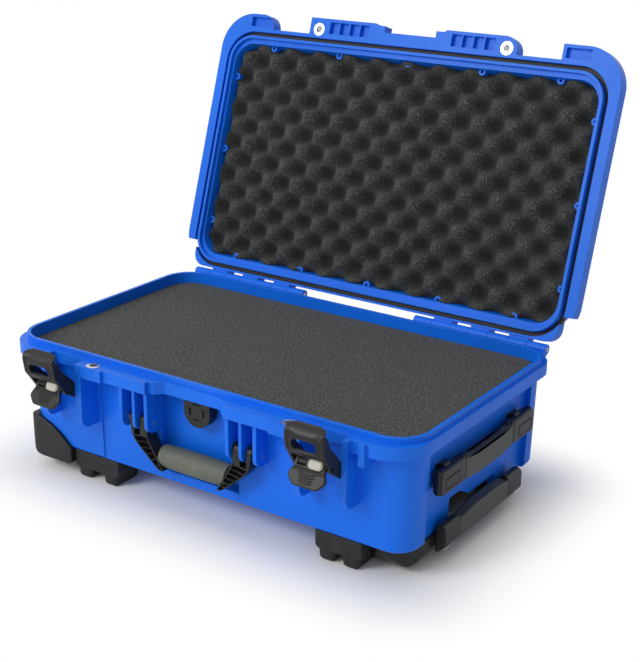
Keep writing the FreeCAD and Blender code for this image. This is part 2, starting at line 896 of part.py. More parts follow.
def lid_flange():
    outer = prism(rectangle(-lid_half_length, lid_half_length, -lid_corner_front, lid_back, lid_corner),
                  place_xy, lid_low, lid_flange_top)
    narrow = prism(rectangle(-lid_back_narrow_half, lid_back_narrow_half, -lid_corner_front + lid_corner,
                             lid_back, wall_corner / 2), place_xy, lid_low, lid_flange_top)
    side_cut = block(-lid_half_length - overrun, lid_half_length + overrun, lid_back_narrow_from,
                     lid_back + overrun, lid_low, lid_flange_top)
    flange = fuse([outer.cut(side_cut), narrow])
    plates = []
    tools = []
    for side in (-1, 1):
        plate = [(side * lid_centre_half, -lid_centre_front, 0),
                 (side * lid_plate_inner, -lid_plate_front, 0),
                 (side * notch_inner, -lid_plate_front, 0), (side * notch_inner, -rib_root, 0),
                 (side * lid_centre_half, -rib_root, 0)]
        plates.append(prism(plate, place_xy, lid_low, lid_flange_top))
        span = sorted((side * notch_inner, side * notch_outer))
        tools.append(block(*span, -lid_plate_front - overrun, -notch_front, lid_low - overrun,
                           lid_flange_top + overrun))
        cell = sorted((side * corner_cell_from, side * corner_cell_to))
        tools.append(block(*cell, -lid_corner_front + cell_rim, -cell_back, lid_low, lid_low + cell_deep))
        for index in range(cell_count):
            near = cell_from + index * cell_pitch
            cell = sorted((side * near, side * (near + cell_wide)))
            tools.append(block(*cell, -lid_plate_front + cell_rim, -cell_back, lid_low, lid_low + cell_deep))
    for x, front in ((notch_inner, lid_plate_front), (-notch_outer, lid_corner_front)):
        square = block(x - notch_round, x, -front, -front + notch_round, lid_low, lid_flange_top)
        tools.append(square.cut(rod(Z_AXIS, x - notch_round, -front + notch_round, lid_low, notch_round,
                                    lid_flange_thick)))
    centre = block(-lid_centre_half, lid_centre_half, -lid_plate_front, -lid_centre_front, lid_low - overrun,
                   lid_flange_top + overrun)
    return cut(fuse([flange] + plates), tools + [centre])


def notch_wall_plate(x0, x1):
    """A sloping wall beside a latch notch, from the flange up to the lid's side."""
    points = [(-notch_front, lid_low, 0), (-notch_front, lid_flange_top, 0),
              (-lid_wall_half_width, lid_flange_top + notch_wall_rise, 0),
              (-rib_root, lid_flange_top + notch_wall_rise, 0), (-rib_root, lid_low, 0)]
    return prism(points, place_yz, x0, x1)

def lid_shell():
    height = lid_top - lid_low
    fall = lid_draft_share * height
    body = stack([
        (lid_wall_half_length, lid_wall_half_width, lid_cavity_corner + lid_wall_set_end, lid_low),
        (lid_wall_half_length - fall, lid_wall_half_width - fall, lid_cavity_corner, lid_top),
    ])
    body = round_edges(body, lid_top_round, lambda p: p.z > lid_top - press_gap)
    pieces = [body, lid_flange()]
    for side in (-1, 1):
        inner = sorted((side * (notch_inner - notch_wall), side * notch_inner))
        outer = sorted((side * notch_outer, side * (notch_outer + notch_wall)))
        pieces.append(notch_wall_plate(*inner))
        pieces.append(notch_wall_plate(*outer))
        span = sorted((side * notch_inner, side * notch_outer))
        pieces.append(block(*span, -notch_front, -notch_front + catch_thick, lid_low,
                            lid_flange_top + catch_rise))
    for x0, x1 in knuckle_spans(1):
        pieces.append(lid_knuckle(x0, x1))
    shell = fuse(pieces)
    groove = slab(groove_half_length + groove_half, groove_half_width + groove_half,
                  groove_corner + groove_half, lid_low, lid_low + groove_depth)
    groove = groove.cut(slab(groove_half_length - groove_half, groove_half_width - groove_half,
                             groove_corner - groove_half, lid_low, lid_low + groove_depth))
    ledge = slab(ledge_half_length, ledge_half_width, ledge_corner, lid_low, ledge_z)
    cavity_fall = lid_draft_share * (lid_top - wall - ledge_z)
    cavity = stack([
        (lid_cavity_half_length, lid_cavity_half_width, lid_cavity_corner, ledge_z),
        (lid_cavity_half_length - cavity_fall, lid_cavity_half_width - cavity_fall,
         lid_cavity_corner - wall, lid_top - wall),
    ])
    panel_half = lid_wall_half_length - fall - lid_panel_inset
    panel_side = lid_wall_half_width - fall - lid_panel_inset
    panel = slab(panel_half, panel_side, lid_panel_inset / 2, lid_top - lid_panel_deep, lid_top)
    ribs = []
    for index in (-1, 0, 1):
        ribs.append(block(-panel_half, panel_half, index * lid_rib_pitch - lid_rib_half,
                          index * lid_rib_pitch + lid_rib_half, lid_top - lid_panel_deep, lid_top))
    tools = [groove, ledge, cavity, hinge_bore(), panel.cut(ribs)]
    for side in (-1, 1):
        tools += eyelet_seat(side, lid_low, lid_flange_top)
    shell = cut(shell, tools)
    ridge = slab(groove_half_length - groove_half - ridge_gap, groove_half_width - groove_half - ridge_gap,
                 groove_corner - groove_half - ridge_gap, lid_low - ridge_drop, lid_low + ledge_depth)
    ridge = ridge.cut(slab(ledge_half_length, ledge_half_width, ledge_corner, lid_low - ridge_drop,
                           lid_low + ledge_depth))
    return cut(fuse([shell, ridge] + lid_bosses(boss_radius)), lid_bosses(boss_bore))


def lid_bosses(radius):
    """A post at each screw place round the lid's cavity."""
    places = []
    along = lid_cavity_half_width - boss_inset
    across = lid_cavity_half_length - boss_inset
    for index in (-2, -1, 0, 1, 2):
        places += [(index * boss_pitch, along), (index * boss_pitch, -along)]
    for index in (-1, 0, 1):
        places += [(across, index * boss_side_pitch), (-across, index * boss_side_pitch)]
    return [rod(Z_AXIS, x, y, lid_low + boss_depth, radius, boss_tall) for x, y in places]

def lid_gasket():
    low = lid_low + groove_depth - gasket_thick
    high = lid_low + groove_depth
    ring = slab(groove_half_length + gasket_half, groove_half_width + gasket_half,
                groove_corner + gasket_half, low, high)
    return ring.cut(slab(groove_half_length - gasket_half, groove_half_width - gasket_half,
                         groove_corner - gasket_half, low, high))


def crate_pits(face):
    """Four-sided pits in a chequered pattern that leave the foam's staggered bumps standing."""
    columns = math.ceil(lid_cavity_half_length / crate_pitch)
    rows = math.ceil(lid_cavity_half_width / crate_pitch)
    half = crate_pitch - crate_land
    pits = []
    for column in range(-columns, columns + 1):
        for row in range(-rows, rows + 2):
            if (column + row) % 2 == 0:
                continue
            x = column * crate_pitch
            y = (row - 1 / 2) * crate_pitch
            tip = FreeCAD.Vector(x, y, face + crate_deep)
            rim = [FreeCAD.Vector(x + half, y, face), FreeCAD.Vector(x, y + half, face),
                   FreeCAD.Vector(x - half, y, face), FreeCAD.Vector(x, y - half, face)]
            faces = [Part.Face(Part.makePolygon(rim + rim[:1]))]
            for start, end in zip(rim, rim[1:] + rim[:1]):
                faces.append(Part.Face(Part.makePolygon([start, end, tip, start])))
            pits.append(Part.Solid(Part.Shell(faces)))
    return pits


def lid_foam():
    fall = lid_draft_share * (lid_top - wall - ledge_z)
    low = lid_low + lid_foam_depth
    start = lid_draft_share * (low - ledge_z)
    foam = stack([
        (lid_cavity_half_length - start - foam_gap, lid_cavity_half_width - start - foam_gap,
         lid_cavity_corner, low),
        (lid_cavity_half_length - fall - foam_gap, lid_cavity_half_width - fall - foam_gap,
         lid_cavity_corner, lid_top - wall - foam_gap),
    ])
    return cut(foam, crate_pits(low) + lid_bosses(boss_radius + foam_gap))


# Latches, drawn shut about the middle of the case, then leaned open and moved

def claw_rest(shape, side):
    shape = turned(shape, -latch_pin_y, latch_pin_z, claw_leans[side])
    shape.translate(FreeCAD.Vector(side * latch_centre, 0, 0))
    return shape


def lever_rest(shape, side):
    """A piece drawn hanging straight down from the lever pin."""
    return claw_rest(turned(shape, -lever_pin_y, lever_pin_z, -lever_lean - claw_leans[side]), side)


def latch_claw():
    half = claw_width / 2
    skin = [(-claw_foot_y, claw_foot_z, 0), (-claw_foot_y + claw_thick, claw_foot_z, 0),
            (-claw_brow_y + claw_thick, claw_brow_z, claw_thick), (-claw_crown_y, hook_under, 0),
            (-hook_back - hook_tooth, hook_under, 0), (-hook_back - hook_tooth, hook_tooth_low, 0),
            (-hook_back, hook_tooth_low, 0), (-hook_back, hook_top, 0),
            (-claw_crown_y, claw_crown_z, claw_thick), (-claw_brow_y, claw_brow_z, claw_thick)]
    cheek = [(-claw_foot_y, claw_foot_z, 0), (-claw_brow_y, claw_brow_z, claw_thick),
             (-claw_crown_y, claw_crown_z, claw_thick), (-cheek_back, hook_under, 0),
             (-cheek_back, latch_pin_z, 0), (-latch_pin_y, latch_pin_z - claw_eye, 0),
             (-lever_pin_y, lever_pin_z - lever_eye, 0), (-lever_pin_y - lever_eye, lever_pin_z, 0)]
    pieces = [prism(skin, place_yz, -half, half)]
    for x in (-half, half - cheek_thick):
        pieces.append(prism(cheek, place_yz, x, x + cheek_thick))
        pieces.append(rod(X_AXIS, x, -latch_pin_y, latch_pin_z, claw_eye, cheek_thick))
        pieces.append(rod(X_AXIS, x, -lever_pin_y, lever_pin_z, lever_eye, cheek_thick))
    window = prism(rectangle(-window_half, window_half, window_low, window_high, window_round), place_xz,
                   -claw_foot_y - overrun, -cheek_back)
    bores = [rod(X_AXIS, -half, -latch_pin_y, latch_pin_z, latch_pin_radius + run_gap, claw_width),
             rod(X_AXIS, -half, -lever_pin_y, lever_pin_z, lever_pin_radius + press_gap, claw_width)]
    return cut(fuse(pieces), [window] + bores)


def latch_lever():
    wide = claw_width / 2
    narrow = wide - cheek_thick - lever_gap
    front = -lever_pin_y - flap_front
    back = front + flap_thick
    low = lever_pin_z - flap_length
    shoulder = lever_pin_z - flap_shoulder
    flap = prism([(-wide, shoulder, 0), (-wide, low + flap_taper, 0), (-wide + flap_taper, low, 0),
                  (wide - flap_taper, low, 0), (wide, low + flap_taper, 0), (wide, shoulder, 0)],
                 place_xz, front, back)
    neck = block(-narrow, narrow, front, back, shoulder, lever_pin_z + lock_height / 2)
    eye = rod(X_AXIS, -narrow, -lever_pin_y, lever_pin_z, lever_eye, 2 * narrow)
    pieces = [flap, neck, eye]
    for index in range(flap_rib_count):
        z = low + flap_rib_low + index * flap_rib_pitch
        pieces.append(block(-flap_rib_span, flap_rib_span, front - flap_rib_proud, back,
                            z - flap_rib_half, z + flap_rib_half))
    bore = rod(X_AXIS, -narrow, -lever_pin_y, lever_pin_z, lever_pin_radius + run_gap, 2 * narrow)
    return cut(fuse(pieces), [bore])


def latch_lock():
    near = -lever_pin_y - flap_front - seat_gap
    left = lock_offset - lock_length / 2
    return prism(rectangle(left, left + lock_length, lever_pin_z - lock_height / 2,
                           lever_pin_z + lock_height / 2, lock_round), place_xz, near - lock_thick, near)


def lever_pin():
    return rod(X_AXIS, -claw_width / 2, -lever_pin_y, lever_pin_z, lever_pin_radius, claw_width)


def latch_pin(side):
    length = latch_outer - latch_inner + latch_plate_in
    return rod(X_AXIS, side * latch_centre - length / 2, -latch_pin_y, latch_pin_z, latch_pin_radius, length)

# Front handle

def handle_arm(side):
    """One curved arm: a forked eye on the pin above a ribbed channel that ends at the bar."""
    fork = bracket_xs[0] + bracket_thicks[0] + fork_gap
    front = [(fork, handle_pin_z, 0), (fork, arm_web_top, arm_inner_round), (arm_end_inner, arm_end_low, 0),
             (arm_end_outer, arm_end_low, arm_end_round), (arm_outer, arm_elbow, arm_elbow_round),
             (arm_outer, handle_pin_z, 0)]
    hollow_top = arm_web_top - arm_skin
    hollow_low = arm_end_low + arm_hollow_rise
    hollow = [(fork + arm_skin, hollow_top, 0), (arm_hollow_inner, hollow_low, arm_hollow_round),
              (arm_hollow_outer, hollow_low, arm_hollow_round),
              (arm_outer - arm_skin, arm_elbow - 2 * arm_skin, arm_hollow_elbow_round),
              (arm_outer - arm_skin, hollow_top, 0)]
    arm = prism([(side * u, v, r) for u, v, r in front], place_xz, -arm_front, -arm_back)
    span = sorted((side * fork, side * arm_outer))
    upper = block(*span, -arm_front, -arm_back, handle_pin_z, handle_pin_z + overrun)
    eye = rod(X_AXIS, span[0], -handle_pin_y, handle_pin_z, fork_radius, span[1] - span[0])
    reach = sorted((side * arm_end_inner, side * (arm_end_inner + arm_boss_length)))
    boss = rod(X_AXIS, reach[0], -handle_bar_y, handle_bar_z, arm_boss_radius, reach[1] - reach[0])
    pocket = prism([(side * u, v, r) for u, v, r in hollow], place_xz, -arm_front,
                   -arm_front + arm_hollow_deep)
    pitch = (hollow_top - hollow_low) / (arm_fin_count + 1)
    fins = []
    for index in range(arm_fin_count):
        z = hollow_low + (index + 1) * pitch
        fins.append(block(*sorted((side * arm_end_inner, side * arm_outer)), -arm_front,
                          -arm_front + arm_hollow_deep, z - arm_fin / 2, z + arm_fin / 2))
    rib = (bracket_xs[1] - arm_slot_gap, bracket_xs[1] + bracket_thicks[1] + arm_slot_gap)
    slot_round = (rib[1] - rib[0]) / 2 - press_gap
    slot = [(rib[0], arm_web_top, slot_round), (rib[1], arm_web_top, slot_round),
            (rib[1], handle_pin_z + overrun, 0), (rib[0], handle_pin_z + overrun, 0)]
    rib_slot = prism([(side * u, v, r) for u, v, r in slot], place_xz, -arm_front - overrun,
                     -arm_back + overrun)
    bore = rod(X_AXIS, span[0], -handle_pin_y, handle_pin_z, handle_pin_radius + run_gap, span[1] - span[0])
    solid = fuse([arm.cut(upper), eye, boss])
    return cut(solid, [pocket.cut(fins + [boss]), rib_slot, bore])


def front_handle():
    bar = rod(X_AXIS, -handle_grip_half, -handle_bar_y, handle_bar_z, handle_bar_radius, 2 * handle_grip_half)
    frame = fuse([handle_arm(-1), handle_arm(1), bar])
    sleeve = rod(X_AXIS, -arm_end_inner + press_gap, -handle_bar_y, handle_bar_z, handle_grip_radius,
                 2 * (arm_end_inner - press_gap))
    sleeve = sleeve.cut(rod(X_AXIS, -arm_end_inner, -handle_bar_y, handle_bar_z,
                            handle_bar_radius + press_gap, 2 * arm_end_inner))
    return frame, sleeve


def handle_pins():
    pins = []
    for side in (-1, 1):
        span = sorted((side * bracket_xs[0], side * (bracket_xs[2] + bracket_thicks[2])))
        pins.append(rod(X_AXIS, span[0], -handle_pin_y, handle_pin_z, handle_pin_radius, span[1] - span[0]))
    return Part.makeCompound(pins)


# Side handle

def end_wall_x(z):
    """How far out the recessed end wall stands at a height."""
    return end_panel_x - draft_share * (end_panel_top - z)


def side_handle():
    back = side_pivot_x - side_eye
    high = side_pivot_z + side_eye
    profile = [(back, side_low, side_round), (side_front, side_low, side_round),
               (side_front, high, side_round), (back, high, side_eye)]
    core = block(side_core_back, side_core_front, -side_half / 2 - side_end_round, side_half / 2
                 + side_end_round, side_core_low, side_core_high)
    pieces = [core]
    tools = []
    caps = []
    for side in (-1, 1):
        span = sorted((side * side_block_inner, side * side_half))
        plan = [(back, side * side_block_inner, side_end_round), (side_front, side * side_block_inner, 0),
                (side_front, side * side_half, side_round), (back, side * side_half, side_end_round)]
        end_block = prism(profile, place_xz, *span)
        pieces.append(end_block.common(prism(plan, place_xy, side_low, high)))
        slot = sorted((side * side_lug_in, side * side_lug_out))
        tools.append(block(back - overrun, side_pivot_x + side_eye + side_lug_gap, *slot,
                           side_pivot_z - side_eye - side_lug_gap, high + overrun))
        y = side * cap_centre
        tools.append(block(side_front - cap_thick, side_front, y - cap_half_length, y + cap_half_length,
                           cap_z - cap_half_height, cap_z + cap_half_height))
        caps.append(block(side_front - cap_thick, side_front - press_gap, y - cap_half_length + cap_border,
                          y + cap_half_length - cap_border, cap_z - cap_half_height + cap_border,
                          cap_z + cap_half_height - cap_border))
        pin = sorted((side * side_pin_in, side * side_pin_out))
        tools.append(rod(Y_AXIS, side_pivot_x, pin[0], side_pivot_z, side_pin_radius + run_gap,
                         pin[1] - pin[0]))
    frame = cut(fuse(pieces), tools)
    inner = side_block_inner - press_gap
    grip = prism([(-inner, side_low, 0), (-inner / 2, side_grip_low, inner / 2),
                  (inner / 2, side_grip_low, inner / 2), (inner, side_low, 0),
                  (inner, side_grip_high, 0), (inner / 2, side_grip_high - side_bow, inner / 2),
                  (-inner / 2, side_grip_high - side_bow, inner / 2), (-inner, side_grip_high, 0)],
                 place_yz, side_grip_back, side_front)
    section = rectangle(side_grip_back, side_front, side_grip_low, side_grip_high, side_round)
    grip = grip.common(prism(section, place_xz, -inner, inner))
    hole = block(side_core_back - press_gap, side_core_front + press_gap, -inner - overrun, inner + overrun,
                 side_core_low - press_gap, side_core_high + press_gap)
    return frame, cut(grip, [hole]), Part.makeCompound(caps)


def side_brackets():
    """Two plates on the end wall, each with a knuckle that carries the handle."""
    brackets = []
    face = side_pivot_x - side_eye - seat_gap
    high = side_pivot_z + side_eye
    for side in (-1, 1):
        span = sorted((side * side_plate_in, side * side_plate_out))
        plate = prism([(end_wall_x(side_plate_low), side_plate_low, 0), (face, side_plate_low, 0),
                       (face, high, 0), (end_wall_x(high), high, 0)], place_xz, *span)
        lug = sorted((side * (side_lug_in + side_lug_gap), side * (side_lug_out - side_lug_gap)))
        knuckle = rod(Y_AXIS, side_pivot_x, lug[0], side_pivot_z, side_eye, lug[1] - lug[0])
        web = block(face - seat_gap, side_pivot_x, *lug, side_pivot_z - side_eye, side_pivot_z + side_eye)
        bore = rod(Y_AXIS, side_pivot_x, lug[0], side_pivot_z, side_pin_radius + press_gap, lug[1] - lug[0])
        brackets.append(cut(fuse([plate, knuckle, web]), [bore]))
    return Part.makeCompound(brackets)


def side_pins():
    pins = []
    for side in (-1, 1):
        span = sorted((side * side_pin_in, side * side_pin_out))
        pins.append(rod(Y_AXIS, side_pivot_x, span[0], side_pivot_z, side_pin_radius, span[1] - span[0]))
    return Part.makeCompound(pins)

# Pull handle

def tube(side, width, height, thick, x0, x1):
    middle = ground_gap - seat_gap - rail_height / 2
    y = side * rail_y
    outer = block(x0, x1, y - width / 2, y + width / 2, middle - height / 2, middle + height / 2)
    return outer.cut(block(x0 - overrun, x1 + overrun, y - width / 2 + thick, y + width / 2 - thick,
                           middle - height / 2 + thick, middle + height / 2 - thick))


mid_width = rail_width - 2 * (rail_wall + tube_gap)
mid_height = rail_height - 2 * (rail_wall + tube_gap)
inner_width = mid_width - 2 * (mid_wall + tube_gap)
inner_height = mid_height - 2 * (mid_wall + tube_gap)


def pull_block(side):
    span = sorted((side * (pull_seam + pull_seam_gap / 2), side * pull_half))
    profile = [(pull_back, pull_low, 0), (pull_back + pull_foot_deep, pull_low, trigger_round),
               (pull_front, pull_low + pull_foot_rise, trigger_round), (pull_front, pull_high, pull_round),
               (pull_back, pull_high, pull_round)]
    solid = prism(profile, place_xz, *span)
    rounding = prism([(pull_back, side * pull_seam, 0), (pull_front, side * pull_seam, 0),
                      (pull_front, side * pull_half, pull_round), (pull_back, side * pull_half, 0)],
                     place_xy, pull_low, pull_high)
    middle = ground_gap - seat_gap - rail_height / 2
    socket = block(pull_back, pull_back + tube_socket, side * rail_y - inner_width / 2 - press_gap,
                   side * rail_y + inner_width / 2 + press_gap, middle - inner_height / 2 - press_gap,
                   middle + inner_height / 2 + press_gap)
    return cut(solid.common(rounding), [socket])

def pull_grip():
    top = pull_high - pull_round / 2
    bar = [(-pull_seam, pull_bar_low, 0), (pull_seam, pull_bar_low, 0), (pull_seam, top, 0),
           (pull_seam / 2, top + pull_bar_rise, pull_seam / 2),
           (-pull_seam / 2, top + pull_bar_rise, pull_seam / 2),
           (-pull_seam, top, 0)]
    seam = pull_seam - pull_seam_gap / 2
    bar = [(math.copysign(seam, u) if abs(u) == pull_seam else u, v, r) for u, v, r in bar]
    solid = prism(bar, place_yz, pull_back, pull_front)
    rounding = prism(rectangle(pull_back, pull_front, pull_bar_low, pull_high + pull_bar_rise, pull_round),
                     place_xz, -seam, seam)
    slot = block(pull_back - overrun, pull_back + trigger_deep + trigger_travel, -trigger_half - seat_gap,
                 trigger_half + seat_gap, trigger_low - seat_gap, trigger_high + seat_gap)
    return cut(solid.common(rounding), [slot])


def pull_trigger():
    return prism([(pull_back - trigger_proud, trigger_low, trigger_round),
                  (pull_back + trigger_deep, trigger_low, 0), (pull_back + trigger_deep, trigger_high, 0),
                  (pull_back - trigger_proud, trigger_high, trigger_round)], place_xz, -trigger_half,
                 trigger_half)


def pull_tray():
    """A lining plate on the back of the hand recess."""
    plate = block(hand_back, hand_back + tray_thick, -hand_half, hand_half, ground_gap, hand_high)
    return plate.common(hand_recess(0))

# Wheels, feet and guards

def wheel(side):
    y0 = side * wheel_y - wheel_width / 2
    tyre = rod(Y_AXIS, -wheel_x, y0, wheel_z, wheel_radius, wheel_width)
    tyre = tyre.makeFillet(tyre_round, [e for e in tyre.Edges if e.Length > wheel_radius * 2 * math.pi
                                        - press_gap])
    tyre = tyre.cut(rod(Y_AXIS, -wheel_x, y0, wheel_z, tyre_bore, wheel_width))
    hub = rod(Y_AXIS, -wheel_x, y0, wheel_z, tyre_bore - press_gap, wheel_width)
    dish = rod(Y_AXIS, -wheel_x, y0, wheel_z, tyre_bore - hub_rim, hub_dish)
    dish = dish.cut(rod(Y_AXIS, -wheel_x, y0, wheel_z, hub_bearing + hub_rim, hub_dish))
    far_dish = dish.copy()
    far_dish.translate(FreeCAD.Vector(0, wheel_width - hub_dish, 0))
    bore = rod(Y_AXIS, -wheel_x, y0, wheel_z, hub_bearing + press_gap, wheel_width)
    hub = cut(hub, [dish, far_dish, bore])
    bearings = []
    for start in (y0, y0 + wheel_width - bearing_width):
        ring = rod(Y_AXIS, -wheel_x, start, wheel_z, hub_bearing, bearing_width)
        bearings.append(ring.cut(rod(Y_AXIS, -wheel_x, start, wheel_z, axle_radius + run_gap, bearing_width)))
    return tyre, hub, Part.makeCompound(bearings)


def housing_front_face():
    return wall_half_width + housing_proud


def axle(side):
    near = well_inner + well_wall / 2
    far = housing_front_face() - wall
    span = sorted((side * near, side * far))
    return rod(Y_AXIS, -wheel_x, span[0], wheel_z, axle_radius, span[1] - span[0])


def wheel_housing(side):
    front = housing_front_face()
    radius = well_radius - housing_gap
    inner = well_inner + housing_gap
    top = well_z + radius
    body = rod(Y_AXIS, -well_x, -front, well_z, radius, front - inner)
    face = [(-housing_end, top, 0), (-housing_end + housing_lean, housing_low, housing_round),
            (-housing_near, housing_low, foot_round), (-housing_near, top, 0)]
    plan = rectangle(-housing_end, housing_end, -front, front, housing_side_round)
    room_half = wheel_width / 2 + wheel_side_room
    room_radius = wheel_radius + wheel_room
    room = rod(Y_AXIS, -wheel_x, -wheel_y - room_half, wheel_z, room_radius, 2 * room_half)
    out = block(-wheel_x - overrun - room_radius, -wheel_x, -wheel_y - room_half, -wheel_y + room_half,
                -overrun, wheel_z + room_radius)
    down = block(-wheel_x, -wheel_x + room_radius, -wheel_y - room_half, -wheel_y + room_half,
                 -overrun, wheel_z)
    bore = rod(Y_AXIS, -wheel_x, -front + wall, wheel_z, axle_radius + press_gap, front - well_inner)
    shell_room = envelope(seat_gap).cut(well(0))
    solid = body.common(prism(face, place_xz, -front, -inner)).common(prism(plan, place_xy, housing_low, top))
    solid = cut(solid, [room, out, down, bore, shell_room])
    solid = max(solid.Solids, key=lambda s: s.Volume)
    return solid if side < 0 else mirror_y(solid)


def foot_screw_places():
    places = []
    for x0, x1 in foot_spans:
        for side in (-1, 1):
            places.append(((x0 + x1) / 2, side * (foot_front + foot_back) / 2))
    return places


def foot(span, side):
    x0, x1 = span
    pieces = [prism([(x0, foot_body_low, foot_round), (x1, foot_body_low, foot_round), (x1, ground_gap, 0),
                     (x0, ground_gap, 0)], place_xz, -foot_front, -foot_back)]
    for x in (x0 + foot_lobe_inset, x1 - foot_lobe_inset):
        left = x - foot_lobe_radius
        right = x + foot_lobe_radius
        pieces.append(prism([(left, 0, foot_round), (right, 0, foot_round), (right, ground_gap, 0),
                             (left, ground_gap, 0)], place_xz, -foot_front, -foot_back))
    solid = fuse(pieces)
    solid = round_edges(solid, foot_round, lambda p: p.z < press_gap and p.y < -foot_front + press_gap)
    holes = []
    for x, y in foot_screw_places():
        holes.append(rod(Z_AXIS, x, -abs(y), 0, screw_radius + press_gap, ground_gap))
        holes.append(rod(Z_AXIS, x, -abs(y), 0, screw_head_radius + press_gap,
                         foot_body_low + screw_head_tall))
    solid = cut(solid, holes)
    return solid if side < 0 else mirror_y(solid)


def foot_screws():
    screws = []
    for x, y in foot_screw_places():
        head = rod(Z_AXIS, x, y, foot_body_low, screw_head_radius, screw_head_tall)
        shank = rod(Z_AXIS, x, y, foot_body_low, screw_radius,
                    ground_gap + screw_bite - foot_body_low)
        screws.append(fuse([head, shank]))
    return Part.makeCompound(screws)


def corner_guard(side):
    plan = [(guard_from, -guard_outer, guard_round / 2), (guard_to, -guard_outer, guard_corner),
            (guard_to, -guard_inner, 0), (guard_from, -guard_inner, 0)]
    along = [(guard_from, guard_low, guard_round / 2), (guard_to, guard_low, guard_round),
             (guard_to, ground_gap, 0), (guard_from, ground_gap, 0)]
    across = [(-guard_outer, guard_low, guard_round), (-guard_inner, guard_low, 0),
              (-guard_inner, ground_gap, 0), (-guard_outer, ground_gap, 0)]
    solid = prism(plan, place_xy, guard_low, ground_gap)
    solid = solid.common(prism(along, place_xz, -guard_outer, -guard_inner))
    solid = solid.common(prism(across, place_yz, guard_from, guard_to))
    half = rail_width / 2 + seat_gap
    top = ground_gap - seat_gap
    channel = block(guard_from - overrun, guard_to + overrun, -rail_y - half, -rail_y + half,
                    top - rail_height - seat_gap, ground_gap + overrun)
    solid = cut(solid, [channel])
    return solid if side < 0 else mirror_y(solid)

# Build every piece

def build():
    save(base_shell(), "base_shell")
    pad, upper = base_foam()
    save(pad, "base_foam_pad")
    save(upper, "base_foam_block")
    for name, shape in zip(("body", "membrane", "seal"), valve()):
        save(shape, "valve_" + name)
    save(eyelets(rim_height, flange_low), "base_eyelets")
    save(opened(lid_shell()), "lid_shell")
    save(opened(lid_gasket()), "lid_gasket")
    save(opened(lid_foam()), "lid_foam")
    save(opened(eyelets(lid_low, lid_flange_top)), "lid_eyelets")
    for side, name in ((-1, "left"), (1, "right")):
        span = sorted((side * hinge_from, side * hinge_to))
        save(rod(X_AXIS, span[0], hinge_y, hinge_z, hinge_pin_radius, span[1] - span[0]),
             "hinge_pin_" + name)
        save(claw_rest(latch_claw(), side), "latch_claw_" + name)
        save(lever_rest(latch_lever(), side), "latch_lever_" + name)
        save(lever_rest(latch_lock(), side), "latch_lock_" + name)
        save(claw_rest(lever_pin(), side), "lever_pin_" + name)
        save(latch_pin(side), "latch_pin_" + name)
    frame, sleeve = front_handle()
    save(frame, "front_handle_frame")
    save(sleeve, "front_handle_grip")
    save(handle_pins(), "front_handle_pins")
    for name, shape in zip(("frame", "grip", "caps"), side_handle()):
        save(shape, "side_handle_" + name)
    save(side_brackets(), "side_handle_brackets")
    save(side_pins(), "side_handle_pins")
    for side, name in ((-1, "front"), (1, "rear")):
        save(tube(side, rail_width, rail_height, rail_wall, rail_from, rail_to), "rail_" + name)
        save(tube(side, mid_width, mid_height, mid_wall, rail_from + mid_set_back, rail_to),
             "mid_tube_" + name)
        save(tube(side, inner_width, inner_height, inner_wall, rail_from + inner_set_back,
                  pull_back + tube_socket), "inner_tube_" + name)
        save(pull_block(side), "pull_block_" + name)
        for piece, shape in zip(("tyre", "hub", "bearings"), wheel(side)):
            save(shape, "wheel_" + piece + "_" + name)
        save(axle(side), "axle_" + name)
        save(wheel_housing(side), "wheel_housing_" + name)
        save(corner_guard(side), "corner_guard_" + name)
        for span, place in zip(foot_spans, ("left", "right")):
            save(foot(span, side), "foot_" + name + "_" + place)
    save(foot_screws(), "foot_screws")
    save(pull_grip(), "pull_grip")
    save(pull_trigger(), "pull_trigger")
    save(pull_tray(), "pull_tray")


build()
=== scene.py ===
import math

import bmesh
import bpy
from mathutils import Matrix, Vector


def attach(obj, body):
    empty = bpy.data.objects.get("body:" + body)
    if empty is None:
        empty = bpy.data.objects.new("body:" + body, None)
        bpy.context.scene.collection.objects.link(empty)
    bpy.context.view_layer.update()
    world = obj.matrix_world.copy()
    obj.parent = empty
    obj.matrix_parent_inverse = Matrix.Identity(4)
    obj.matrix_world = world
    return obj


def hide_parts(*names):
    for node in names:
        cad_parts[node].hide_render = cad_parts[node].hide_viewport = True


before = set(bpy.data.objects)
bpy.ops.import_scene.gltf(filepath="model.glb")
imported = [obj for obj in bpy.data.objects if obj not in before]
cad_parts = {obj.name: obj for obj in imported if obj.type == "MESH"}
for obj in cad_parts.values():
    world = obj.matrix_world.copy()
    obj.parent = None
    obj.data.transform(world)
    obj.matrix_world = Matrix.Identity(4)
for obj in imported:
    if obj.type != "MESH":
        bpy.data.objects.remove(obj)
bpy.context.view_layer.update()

MM = 0.001
LEFT, RIGHT = -1, 1
SAME_PLACE = 0.01 * MM

# The lid's hinge line and how far the lid stands open.
HINGE = Vector((0, 166.3, 158.0)) * MM
OPEN_ANGLE = math.radians(108)
LID_UP = Vector((0, math.sin(OPEN_ANGLE), math.cos(OPEN_ANGLE)))
CRATE_PEAK = 161.6 * MM
CRATE_PIT = 178.4 * MM


class Wire:
    """A socket in a finish that takes part in sums."""

    def __init__(self, finish, socket):
        self.finish = finish
        self.socket = socket

    def sum(self, operation, first, second):
        return self.finish.node("ShaderNodeMath", {"operation": operation}, {0: first, 1: second})

    def __add__(self, other):
        return self.sum("ADD", self, other)

    def __radd__(self, other):
        return self.sum("ADD", other, self)

    def __sub__(self, other):
        return self.sum("SUBTRACT", self, other)

    def __rsub__(self, other):
        return self.sum("SUBTRACT", other, self)

    def __mul__(self, other):
        return self.sum("MULTIPLY", self, other)

    def __rmul__(self, other):
        return self.sum("MULTIPLY", other, self)

    def __pow__(self, other):
        return self.sum("POWER", self, other)


